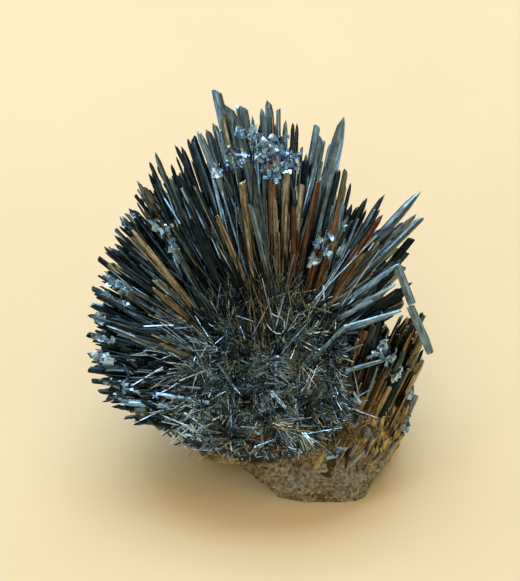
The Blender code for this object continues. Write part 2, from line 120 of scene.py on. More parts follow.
# For each End: tip length, sideways shift of the peak, slant and jaggedness of the shoulder, in widths.
END_SHAPES = np.array(((1.5, 0.08, 0.15, 0.04), (0.7, 0.22, 0.6, 0.05), (0.14, 0.08, 0.28, 0.14)))

# How far the blades and the solid root reach from the heart, by bearing clockwise from straight up.
RIM = np.array((
    # bearing, blades, root
    (-180, 27, 24.6), (-150, 29, 26.0), (-125, 36, 29.0), (-105, 44, 24.0), (-80, 46, 20.0),
    (-60, 48, 19.0), (-38, 53, 19.5), (-20, 57, 20.0), (-11, 64, 20.0), (0, 62, 20.0), (17, 58, 20.0),
    (26, 46, 19.0), (45, 50, 19.0), (56, 38, 18.5), (68, 28, 18.5), (90, 27, 20.0), (120, 26, 22.5),
    (150, 26, 24.0), (180, 27, 24.6),
))

# Where blades of each bearing are rooted on the face: the left family is parallel, the rest converge.
ROOTS = np.array((
    # bearing, across, up
    (-130, -12, -15), (-110, -14, -12), (-90, -16, -5), (-60, -15, 4), (-40, -12, 9), (-20, -5, 11),
    (0, 1, 12), (20, 7, 11), (45, 12, 9), (70, 14, 3), (90, 15, 0), (130, 10, -8),
))

# Where the brown rim below the needles starts, as points along its line: across, up.
BROWN_RIM = (
    (-30.0, -26.0, -20.0, -12.0, 0.0, 8.0, 12.0, 17.0),
    (-17.0, -20.5, -24.0, -26.0, -26.3, -25.3, -23.5, -19.0),
)

# The tables of blades, from the top of the crown round to the inner ring.
CROWN: tuple[Blade, ...] = (
    Blade((-22.0, 51.0, -8), (-9.5, 12, -7), 2.0),
    Blade((-20.8, 53.2, -12), (-7, 12, -9), 1.2),
    Blade((-19.5, 53.5, -9), (-5, 12, -6), 2.3, End.CHISEL),
    Blade((-18.0, 54.8, -7), (0, 12, -4), 2.0, End.POINT, Tone.BLUE),
    Blade((-15.6, 55.6, -11), (-4, 12, -8), 2.3, End.CHISEL, Tone.STEEL),
    Blade((-14.0, 57.3, -12), (-3, 12, -9), 2.2, End.CHISEL, Tone.STEEL),
    Blade((-13.5, 65.4, -9), (-1.3, 12, -5), 2.8, End.BROKEN, Tone.BLUE),
    Blade((-10.5, 61.8, -8), (0, 12, -4), 4.2, End.CHISEL, Tone.STEEL),
    Blade((-11.8, 59.0, -7), (-0.8, 12, -4), 2.6, End.CHISEL, Tone.OLIVE),
    Blade((-8.2, 58.5, -6), (1, 12, -3), 3.4, End.CHISEL, Tone.STEEL),
    Blade((-7.2, 61.2, -11), (0.6, 12, -8), 3.6, End.BROKEN, Tone.BLUE),
    Blade((-2.0, 60.5, -9), (1, 12, -6), 1.7, End.POINT, Tone.BLUE),
    Blade((-0.2, 63.2, -11), (1.4, 12, -8), 2.5, End.CHISEL, Tone.BLUE),
    Blade((2.1, 60.2, -9), (2, 12, -6), 1.3, End.BROKEN, Tone.STEEL),
    Blade((3.8, 57.5, -8), (3, 12, -5), 1.5, End.POINT, Tone.STEEL),
    Blade((5.8, 57.0, -10), (3.5, 12, -7), 1.2),
    Blade((6.8, 56.6, -7), (4, 12, -4), 1.2),
    Blade((11.8, 56.2, -9), (4.2, 12, -6), 2.0, End.BROKEN, Tone.BLUE),
    Blade((13.5, 52.5, -11), (6, 12, -8), 1.3, End.BROKEN, Tone.STEEL),
    Blade((18.2, 58.4, -8), (8, 12, -5), 3.5, End.POINT, Tone.BLUE),
    Blade((17.4, 45.0, -6), (9, 12, -4), 1.4),
    Blade((18.8, 45.0, -3), (12, 12, -3.4), 1.6, End.CHISEL, Tone.OLIVE),
    Blade((20.2, 41.8, -7), (13, 12, -6), 1.2),
)
RIGHT_SHOULDER: tuple[Blade, ...] = (
    Blade((24.2, 38.2, -8), (11, 11, -6), 1.9),
    Blade((28.5, 39.0, -7), (12, 11, -5), 2.1),
    Blade((27.8, 33.8, -4), (12, 10, -3.4), 1.7, End.POINT, Tone.RED),
    Blade((37.5, 39.8, -6), (13, 12, -5), 2.6, End.POINT, Tone.STEEL),
    Blade((37.8, 33.2, -4), (13, 9, -4), 2.0, End.CHISEL, Tone.STEEL),
    Blade((33.2, 32.2, -9), (14, 9, -8), 1.5),
    Blade((35.6, 28.0, -10), (15, 3, -11), 2.4, End.BROKEN),
    Blade((35.5, 17.0, -7), (13, 2, -8), 1.2),
    Blade((20.6, 36.5, -7), (10, 11, -6), 2.2),
    Blade((22.3, 36.2, -9), (11, 11, -7), 2.0, End.CHISEL, Tone.OLIVE),
    Blade((19.4, 33.5, -5), (9, 10, -5), 2.0, End.POINT, Tone.OLIVE),
    Blade((34.2, 24.6, -11), (15, 3, -12), 2.6, End.BROKEN),
    Blade((33.6, 21.0, -12), (15, 2, -13), 2.6, End.BROKEN, Tone.OLIVE),
    Blade((31.8, 21.6, 0), (11, 7, -4), 1.2, End.POINT, Tone.BLUE),
    Blade((31.0, 16.5, 0), (11, 5, -4), 1.2, End.POINT, Tone.BLUE),
    Blade((32.0, 10.0, 0), (11, 2, -4), 1.2, End.BROKEN, Tone.BLUE),
    Blade((33.8, 14.6, -10), (14, 2, -11), 2.6, End.BROKEN),
    Blade((33.6, 12.0, -11), (14, 1, -12), 2.6, End.BROKEN, Tone.OLIVE),
    Blade((32.4, 10.2, -12), (14, 0, -12), 2.4, End.CHISEL),
    Blade((29.0, 9.4, -9), (13, 1, -10), 2.4, End.BROKEN),
)
LEFT_SIDE: tuple[Blade, ...] = (
    Blade((-24.8, 46.5, -9), (-12.5, 12, -8), 1.2),
    Blade((-23.0, 43.8, -5), (-8, 12, -4), 1.8, End.CHISEL),
    Blade((-28.8, 49.5, -8), (-14, 12, -6), 1.5, End.POINT, Tone.STEEL),
    Blade((-30.2, 47.2, -10), (-13, 8, -8), 1.2),
    Blade((-30.2, 44.2, -7), (-15, 9, -5), 1.2),
    Blade((-33.2, 42.5, -9), (-15, 8, -7), 1.6, End.POINT, Tone.STEEL),
    Blade((-31.2, 40.8, -5), (-14, 8, -4), 1.4, End.CHISEL, Tone.OLIVE),
    Blade((-35.2, 35.5, -8), (-16, 8, -7), 1.3),
    Blade((-37.8, 33.5, -10), (-16, 7, -9), 1.3, End.POINT, Tone.BLUE),
    Blade((-38.8, 28.8, -7), (-16, 5, -6), 1.5),
    Blade((-41.5, 25.8, -7), (-16, 4, -6), 1.4),
    Blade((-43.0, 23.0, -9), (-16, 2, -8), 1.8, End.BROKEN),
    Blade((-41.8, 19.0, -5), (-16, 1, -4), 1.2, End.POINT, Tone.STEEL),
    Blade((-44.4, 15.5, -7), (-16, 0, -6), 1.8, End.BROKEN),
    Blade((-44.8, 12.0, -9), (-16, -1, -8), 1.4, End.POINT, Tone.BLUE),
    Blade((-45.4, 9.0, -6), (-16, -2, -5), 1.6, End.CHISEL),
    Blade((-45.6, 4.0, -7), (-17, -4, -6), 1.9, End.BROKEN),
    Blade((-46.0, -1.0, -6), (-18, -6, -5), 1.9, End.CHISEL),
    Blade((-45.4, -4.8, -8), (-18, -8, -7), 2.0, End.BROKEN),
    Blade((-44.4, -7.6, -6), (-18, -10, -6), 1.7, End.BROKEN),
    Blade((-43.0, -10.2, -5), (-17, -11, -6), 1.7, End.CHISEL),
    Blade((-40.6, -11.8, -6), (-16, -13, -6), 2.0, End.BROKEN),
    Blade((-37.6, -12.6, -3.4), (-16, -13, -4), 2.0, End.CHISEL),
    Blade((-36.2, -14.2, -5), (-14, -15, -5), 1.8, End.BROKEN),
    Blade((-33.6, -15.4, -3.6), (-13, -15, -4.4), 2.0, End.CHISEL, Tone.OLIVE),
    Blade((-33.2, -16.2, -5), (-12, -16, -5), 2.2, End.BROKEN),
    Blade((-31.0, -17.8, -4), (-12, -16, -5), 2.0, End.CHISEL),
    Blade((-28.6, -18.9, -5), (-11, -17, -6), 2.4, End.BROKEN, Tone.OLIVE),
    Blade((-26.6, -19.0, -4), (-11, -16, -5), 2.2, End.CHISEL),
    Blade((-24.2, -20.6, -4.4), (-9, -17, -6), 2.8, End.BROKEN),
)
INNER_RING: tuple[Blade, ...] = (
    Blade((-34.2, 30.0, -2), (-15, 6, -4), 1.3, End.POINT, Tone.TAN),
    Blade((-29.0, 15.8, 0), (-15, 3, -3.4), 1.2, End.POINT, Tone.TAN),
    Blade((-27.4, 3.8, 1), (-13, -2, -3.4), 1.4, End.POINT, Tone.STEEL),
    Blade((-40.6, 6.2, -2), (-16, -4, -4), 1.4, End.POINT, Tone.STEEL),
    Blade((-27.2, 2.0, 2), (-13, -5, -4), 1.4, End.CHISEL, Tone.OLIVE),
    Blade((-20.0, 37.0, -2), (-9, 10, -4), 1.6),
    Blade((-17.5, 28.0, 0), (-9, 8, -4), 1.4),
    Blade((-13.0, 33.4, 1), (-3, 10, -4), 1.5, End.BROKEN, Tone.TAN),
    Blade((-10.0, 45.0, -3), (-2, 12, -4), 1.7),
    Blade((-6.8, 41.6, 0), (-3, 10, -4), 2.5, End.BROKEN, Tone.TAN),
    Blade((-5.0, 36.4, 2), (2, 9, -4), 1.7, End.CHISEL, Tone.STEEL),
    Blade((0.4, 46.0, -3), (1, 12, -4), 2.0, End.BROKEN, Tone.ORANGE),
    Blade((4.0, 44.0, -2), (3, 12, -4), 2.0, End.BROKEN, Tone.TAN),
    Blade((1.0, 38.0, 1), (2, 10, -4), 1.5, End.POINT, Tone.TAN),
    Blade((5.6, 36.0, 2), (6, 9, -4), 1.5, End.POINT, Tone.RED),
    Blade((8.0, 41.0, -1), (5, 11, -4), 1.7, End.BROKEN, Tone.TAN),
    Blade((11.8, 41.8, -1), (6, 11, -4), 1.8, End.BROKEN, Tone.RED),
    Blade((12.6, 30.0, 1), (7, 8, -4), 1.6, End.POINT, Tone.RED),
    Blade((17.0, 35.0, 0), (9, 9, -4), 1.6, End.POINT, Tone.ORANGE),
    Blade((22.5, 24.6, 1), (11, 7, -4), 1.6, End.CHISEL, Tone.ORANGE),
    Blade((27.0, 27.0, -2), (12, 8, -4), 1.7, End.POINT, Tone.OLIVE),
    Blade((18.8, 6.4, 1.5), (9, -2, -4), 1.3, End.BROKEN, Tone.STEEL),
)

# Blades that snapped off and lie across the others, by the solid that each stands for.
LOOSE_BLADES: dict[str, Blade] = {
    "loose_blade_upper": Blade((31.2, 20.9, 0.9), (34.95, 11.55, -1.9), 1.6, End.BROKEN, Tone.BLUE),
    "loose_blade_lower": Blade((34.5, 11.15, -2.1), (40.0, -0.6, -6.6), 1.7, End.BROKEN, Tone.BLUE),
    "loose_needle_left": Blade((-28.5, -10.7, -2.5), (-15.0, -12.8, -0.5), 1.1, End.BROKEN, Tone.BLUE),
    "loose_needle_low": Blade((-35.5, -13.0, -2.3), (-24.5, -13.8, -2.3), 1.0, End.BROKEN, Tone.BLUE),
}
BENT_NEEDLE = ((10.6, -2.0, 0.2), (18.0, 5.9, 2.5), (31.8, 9.8, 1.0))

# The side bundle's blades and the brown splinters in the rock, by their tips on the face.
SIDE_BLADES = (
    # across, up, out, length, width
    (19.0, 1.2, -3.0, 9, 1.8), (21.0, 3.4, -4.0, 12, 2.0), (23.5, 6.2, -4.0, 14, 2.0),
    (25.4, 5.8, -7.0, 18, 3.0), (27.4, 7.4, -7.5, 20, 2.8), (29.0, 8.8, -9.0, 22, 2.2),
    (26.2, 8.4, -7.0, 19, 2.6), (28.0, 9.8, -8.0, 22, 2.6), (29.4, 6.4, -8.0, 20, 2.4),
    (32.9, 8.6, -8.5, 23, 2.2), (34.6, 8.4, -8.5, 23, 2.6), (35.8, 5.8, -6.0, 22, 3.0),
    (37.8, 6.8, -9.5, 23, 2.4), (38.6, 9.4, -11.0, 25, 1.8), (38.0, 3.2, -7.0, 21, 2.6),
    (37.4, 0.4, -8.0, 18, 2.8), (38.6, -2.4, -9.5, 18, 2.0), (34.0, 1.0, -7.0, 18, 3.2),
    (31.6, 0.6, -6.0, 17, 3.0), (29.6, -1.0, -5.5, 15, 3.0), (36.4, -6.0, -9.5, 15, 3.0),
    (33.2, -4.6, -7.5, 14, 3.0), (26.0, -2.0, -5.0, 13, 3.0), (22.6, -4.0, -4.5, 11, 2.8),
    (29.4, -7.0, -8.5, 13, 3.0),
)
# Darker blades between the felt and the bundle, and two pale ones that lie across them.
INNER_SIDE_BLADES = (
    # across, up, out, length, width
    (25.6, 6.6, -2.6, 16, 2.6), (27.0, 7.6, -3.2, 18, 2.4), (23.6, 5.0, -2.2, 13, 2.2),
    (21.6, 3.4, -1.8, 11, 1.8), (28.4, 8.6, -4.0, 19, 2.2), (24.6, 2.0, -2.6, 12, 1.6),
    (20.4, 1.0, -1.6, 8, 1.4), (26.6, 0.0, -3.4, 12, 2.2), (22.8, -2.0, -2.6, 9, 1.6),
    (28.6, 3.4, -4.0, 15, 1.8),
)
CROSSING_BLADES = (
    Blade((27.8, -2.3, -1.9), (18.6, -4.9, -1.5), 1.1, End.BROKEN, Tone.BLUE),
    Blade((23.2, 1.6, -1.2), (17.4, -0.6, -1.4), 0.7, End.POINT, Tone.STEEL),
)
SPLINTERS = (
    # across, up, out, length, width
    (27.6, -6.6, -7.0, 9, 2.4), (25.2, -8.2, -6.4, 8, 2.4), (22.6, -10.0, -6.2, 8, 2.4),
    (30.0, -9.0, -8.6, 9, 2.4), (24.0, -13.6, -10.0, 16, 2.8), (26.6, -10.4, -10.2, 18, 2.8),
    (29.0, -14.8, -11.4, 16, 3.0), (31.6, -10.8, -11.0, 18, 3.0), (34.0, -15.4, -12.8, 16, 3.0),
    (36.6, -11.4, -12.6, 18, 2.6), (34.0, -18.2, -13.8, 11, 2.8),
)


@dataclass(frozen=True)
class OpenFace:
    """The plane of the spray's open face, with the heart as its origin."""

    elevation: float = math.radians(45.0)
    heart: Triple = (0.0, 0.0, 39.5)

    @property
    def out(self) -> np.ndarray:
        """The way out of the face."""
        return np.array((0.0, -math.cos(self.elevation), math.sin(self.elevation)))

    @property
    def up(self) -> np.ndarray:
        """The way up the face."""
        return np.array((0.0, math.sin(self.elevation), math.cos(self.elevation)))

    @property
    def across(self) -> np.ndarray:
        """The way across the face, to the right."""
        return np.array((1.0, 0.0, 0.0))

    def world(self, places: np.ndarray) -> np.ndarray:
        """Turns places on the face into points.

        Args:
            places: rows of (across, up, out) in millimetres.

        Returns:
            Rows of (x, y, z) in millimetres.
        """
        return np.asarray(places, float) @ np.stack((self.across, self.up, self.out)) + self.heart

    def places(self, points: np.ndarray) -> np.ndarray:
        """The way back from points to places on the face."""
        return (np.asarray(points, float) - self.heart) @ np.stack((self.across, self.up, self.out)).T


FACE = OpenFace()

# The way that the fibres of the brown crust run: on the face, and in the frame of the points.
CRUST_LEAN = (0.46, 0.76, 0.46)
CRUST_WAY = tuple(FACE.world(CRUST_LEAN) - FACE.world((0.0, 0.0, 0.0)))


def unit(rows: np.ndarray) -> np.ndarray:
    """Each row divided by its own length."""
    return rows / np.maximum(np.linalg.norm(rows, axis=-1, keepdims=True), 1e-12)


def dot(first: np.ndarray, second: np.ndarray) -> np.ndarray:
    """The product of each row with its partner, as a column."""
    return (first * second).sum(axis=1)[:, None]


def bearing_of(places: np.ndarray) -> np.ndarray:
    """The bearings of places on the face, in degrees clockwise from straight up."""
    return np.degrees(np.arctan2(places[..., 0], places[..., 1]))


def heading_of(turn: np.ndarray, splay: np.ndarray) -> np.ndarray:
    """Directions on the face.

    Args:
        turn: bearings, in radians.
        splay: angles from the way out of the face, in radians.

    Returns:
        Rows of (across, up, out) of length one.
    """
    return np.stack((np.sin(turn) * np.sin(splay), np.cos(turn) * np.sin(splay), np.cos(splay)), axis=1)


def within(places: np.ndarray, across: float, up: float, radius: float) -> np.ndarray:
    """Which places on the face lie in a round patch."""
    return np.hypot(places[:, 0] - across, places[:, 1] - up) < radius


def rim_reach(bearings: np.ndarray, column: int = 1) -> np.ndarray:
    """The reach at some bearings in degrees, in straight lines between RIM's rows."""
    return np.interp((np.asarray(bearings) + 180.0) % 360.0 - 180.0, RIM[:, 0], RIM[:, column])


def inside_box(points: np.ndarray) -> np.ndarray:
    """The points, those outside the solids' box moved onto its sides."""
    return np.clip(points, *(np.array(corner) / MM for corner in cad_box))


def waves(
    points: np.ndarray, length: float, seed: int, octaves: int = 3, fade: float = 0.5, ways: int = 14,
) -> np.ndarray:
    """A smooth lumpy field: sines along random directions, each octave half as long and lower.

    Args:
        points: rows of (x, y, z) in millimetres.
        length: distance between lumps in the first octave, in millimetres.
        seed: picks the directions.
        octaves: how many are summed.
        fade: height of each octave as a share of the one before.
        ways: how many directions an octave has.

    Returns:
        One value a row, mostly between -1 and 1.
    """
    chance = np.random.default_rng(seed)
    total = np.zeros(len(points))
    for octave in range(octaves):
        turns = unit(chance.normal(size=(ways, 3))) * (2 * math.pi / length * 2 ** octave)
        phases = chance.uniform(0, 2 * math.pi, ways)
        total += np.sin(points @ turns.T + phases).sum(axis=1) / ways ** 0.5 * fade ** octave
    return total


@dataclass(frozen=True)
class StainAndReflectionMix:
    """Shares of each tone in a group of crystals."""

    shares: tuple[tuple[Tone, float], ...]
    # How far a crystal may be off its tone's own value.
    spread: float = 0.04

    def pick(self, count: int, chance: Chance) -> np.ndarray:
        """Tone values for a count of crystals."""
        values = np.array([tone.value for tone, _ in self.shares])
        weights = np.array([share for _, share in self.shares])
        return chance.choice(values, count, p=weights / weights.sum())

    def draw(self, count: int, chance: Chance) -> np.ndarray:
        """Tone values for a count of crystals, each a little off its tone's own."""
        return self.pick(count, chance) + chance.uniform(-self.spread, self.spread, count)


# Mixes of tones: their steel and blue shares are painted reflection, their browns iron stain.
OUTER_MIX = StainAndReflectionMix((
    (Tone.DARK, 0.66), (Tone.STEEL, 0.13), (Tone.BLUE, 0.08), (Tone.OLIVE, 0.09), (Tone.TAN, 0.04)))
INNER_MIX = StainAndReflectionMix((
    (Tone.DARK, 0.44), (Tone.STEEL, 0.12), (Tone.BLUE, 0.05), (Tone.OLIVE, 0.16), (Tone.TAN, 0.09),
    (Tone.RED, 0.08), (Tone.ORANGE, 0.06)))
FELT_MIX = StainAndReflectionMix((
    (Tone.DARK, 0.60), (Tone.STEEL, 0.10), (Tone.BLUE, 0.08), (Tone.OLIVE, 0.15), (Tone.TAN, 0.07)))
SHADED_MIX = StainAndReflectionMix(((Tone.DARK, 0.75), (Tone.OLIVE, 0.25)))
STREWN_MIX = StainAndReflectionMix((
    (Tone.DARK, 0.36), (Tone.STEEL, 0.28), (Tone.BLUE, 0.29), (Tone.OLIVE, 0.04), (Tone.TAN, 0.03)))
CRUST_MIX = StainAndReflectionMix((
    (Tone.DARK, 0.30), (Tone.STEEL, 0.06), (Tone.BLUE, 0.04), (Tone.OLIVE, 0.26), (Tone.TAN, 0.34)))
RIM_MIX = StainAndReflectionMix(((Tone.DARK, 0.62), (Tone.OLIVE, 0.12), (Tone.RED, 0.20), (Tone.ORANGE, 0.06)))
RUST_MIX = StainAndReflectionMix(((Tone.OLIVE, 0.35), (Tone.TAN, 0.40), (Tone.ORANGE, 0.25)))
SIDE_MIX = StainAndReflectionMix((
    (Tone.DARK, 0.12), (Tone.STEEL, 0.24), (Tone.OLIVE, 0.26), (Tone.TAN, 0.30), (Tone.RED, 0.03),
    (Tone.ORANGE, 0.05)))
INNER_SIDE_MIX = StainAndReflectionMix((
    (Tone.DARK, 0.52), (Tone.STEEL, 0.12), (Tone.OLIVE, 0.18), (Tone.TAN, 0.14), (Tone.RED, 0.04)))


@dataclass
class Crystals:
    """Many crystals as whole arrays, with a row for each. Points and widths are in millimetres."""

    tips: np.ndarray
    roots: np.ndarray
    widths: np.ndarray
    flats: np.ndarray
    turns: np.ndarray
    ends: np.ndarray
    tones: np.ndarray

    @classmethod
    def made(
        cls, tips: np.ndarray, roots: np.ndarray, widths: np.ndarray, ends: np.ndarray,
        tones: np.ndarray, chance: Chance, flat: float = 0.62, turn: float = 0.7,
    ) -> "Crystals":
        """Crystals with their thickness and their turn about their own length drawn at random.

        Args:
            tips: points where they end.
            roots: points where they start.
            widths: width of each.
            ends: End value of each.
            tones: Tone value of each.
            chance: source of the random draws.
            flat: mean thickness as a share of the width.
            turn: widest turn of the broad side away from the open face, in radians.

        Returns:
            The crystals.
        """
        flats = flat * chance.uniform(0.75, 1.25, len(tips))
        turns = chance.uniform(-turn, turn, len(tips))
        widths, ends, tones = np.asarray(widths, float), np.asarray(ends), np.asarray(tones)
        return cls(tips, roots, widths, flats, turns, ends, tones)

    @classmethod
    def listed(
        cls, blades: tuple[Blade, ...], chance: Chance, swell: float = 1.15,
        turn: float = 0.4,
    ) -> "Crystals":
        """The crystals of a table of blades, with their broad sides to the front.

        Args:
            blades: the table.
            chance: source of the random draws.
            swell: how much wider than listed, since a rounded outline looks slimmer than its width.
            turn: widest turn of the broad side away from the open face, in radians.

        Returns:
            The crystals.
        """
        tips = FACE.world(np.array([blade.tip for blade in blades]))
        roots = FACE.world(np.array([blade.root for blade in blades]))
        widths = np.array([blade.width for blade in blades]) * swell
        ends = np.array([blade.end.value for blade in blades])
        tones = np.array([blade.tone.value for blade in blades])
        tones = tones + chance.uniform(-0.03, 0.03, len(blades))
        return cls.made(tips, roots, widths, ends, tones, chance, turn=turn)

    @classmethod
    def joined(cls, groups: list["Crystals"]) -> "Crystals":
        """Copies of several groups as one."""
        return cls(*(np.concatenate(rows) for rows in zip(*(vars(group).values() for group in groups))))

    @property
    def lengths(self) -> np.ndarray:
        """The length of each."""
        return np.linalg.norm(self.tips - self.roots, axis=1)

    def kept(self, mask: np.ndarray | slice) -> "Crystals":
        """Only the crystals that a mask or an index picks."""
        return Crystals(*(values[mask] for values in vars(self).values()))

    def draw_into_box(self) -> None:
        """Draws each end back along its crystal, in place, until it lies inside the solids' box."""
        low, high = (np.array(corner) / MM for corner in cad_box)
        # The ends stay off the sides by a share of the width, so that the crystals' breadth fits in.
        room = np.minimum(0.2 * self.widths, 0.5)[:, None]
        middle = np.clip((self.tips + self.roots) / 2, low + room, high - room)
        for end in (self.tips, self.roots):
            way = end - middle
            runs = np.abs(way) > TINY
            limit = np.where(way > 0, high - room - middle, low + room - middle)
            share = np.where(runs, limit / np.where(runs, way, 1.0), 1.0)
            end[:] = middle + way * np.clip(share.min(axis=1), 0.0, 1.0)[:, None]

    def sides(self) -> tuple[np.ndarray, np.ndarray, np.ndarray]:
        """Each crystal's own axes: its broad way, its thick way and its length."""
        along = unit(self.tips - self.roots)
        lateral = np.cross(FACE.out, along)
        straight_out = np.linalg.norm(lateral, axis=1) < 0.05
        lateral[straight_out] = np.cross(FACE.across, along[straight_out])
        lateral = unit(lateral)
        depth = np.cross(along, lateral)
        cosine, sine = np.cos(self.turns)[:, None], np.sin(self.turns)[:, None]
        return lateral * cosine + depth * sine, depth * cosine - lateral * sine, along

    def with_companions(
        self, most: int, chance: Chance, narrowest: float = 1.35,
    ) -> "Crystals":
        """Adds the thinner crystals that grew side by side with each broad one.

        Args:
            most: largest number of companions to one crystal.
            chance: source of the random draws.
            narrowest: crystals narrower than this stand alone, in millimetres.

        Returns:
            The crystals and their companions.
        """
        broad = np.flatnonzero(self.widths >= narrowest)
        picked = np.repeat(broad, chance.integers(1, most + 1, len(broad)))
        mates = self.kept(picked)
        lateral, depth, along = self.sides()
        count = len(picked)
        shift = chance.choice((-1, 1), count) * chance.uniform(0.28, 0.62, count) * mates.widths
        lift = chance.uniform(-0.25, 0.45, count) * mates.widths * mates.flats
        offset = lateral[picked] * shift[:, None] + depth[picked] * lift[:, None]
        shorter = chance.uniform(0.11, 0.42, count) * mates.lengths
        mates.tips = mates.tips + offset - along[picked] * shorter[:, None]
        mates.roots = mates.roots + offset * 0.6
        mates.widths = mates.widths * chance.uniform(0.3, 0.6, count)
        mates.flats = mates.flats * chance.uniform(1.0, 1.5, count)
        mates.turns = mates.turns + chance.uniform(-0.6, 0.6, count)
        mates.ends = chance.choice((0, 0, 1, 2), count)
        mates.tones = mates.tones + chance.uniform(-0.05, 0.08, count)
        return Crystals.joined([self, mates])


@dataclass(frozen=True)
class Stubs:
    """Short crystals beside longer ones, in nearly the same direction, as a thick growth breaks off.

    Along is where they end on the bearer, as shares of its length. Length and width are in
    millimetres, aside is how far off the bearer they spread, and lean is how far off its direction.
    """

    bearers: str
    count: int
    along: Pair
    length: Pair
    width: Pair
    aside: float
    lean: float
    first_bearer: int = 0

    def crystals(self, groups: dict[str, Crystals], chance: Chance) -> Crystals:
        """The stubs.

        Args:
            groups: the listed crystals, by name.
            chance: source of the random draws.

        Returns:
            The stubs, without their bearers.
        """
        bearers, count = groups[self.bearers].kept(slice(self.first_bearer, None)), self.count
        made = bearers.kept(chance.choice(len(bearers.tips), count))
        way = unit(made.tips - made.roots)
        end = made.roots + (made.tips - made.roots) * chance.uniform(*self.along, count)[:, None]
        made.tips = end + chance.normal(0, self.aside, (count, 3))
        way = unit(way + chance.normal(0, self.lean, (count, 3)))
        made.roots = made.tips - way * chance.uniform(*self.length, count)[:, None]
        made.widths = chance.uniform(*self.width, count)
        made.flats = chance.uniform(0.5, 0.9, count)
        made.turns = chance.uniform(-1.2, 1.2, count)
        made.ends = chance.choice((0, 1, 2, 2), count)
        made.tones = OUTER_MIX.draw(count, chance)
        return made


# The stubs that thicken the left side, the crown and the right shoulder.
STUBS = (
    # bearers, count, along, length, width, aside, lean, first bearer
    Stubs("left_side_blades", 300, (0.40, 0.93), (4.0, 11.0), (0.5, 1.6), 0.7, 0.10),
    Stubs("left_side_blades", 200, (0.35, 0.90), (2.0, 6.0), (0.5, 2.0), 0.9, 0.4, 16),
    Stubs("crown_blades", 90, (0.35, 0.85), (4.0, 12.0), (0.8, 2.0), 0.9, 0.10),
    Stubs("right_shoulder_blades", 60, (0.35, 0.85), (4.0, 12.0), (0.8, 2.0), 0.9, 0.10),
)


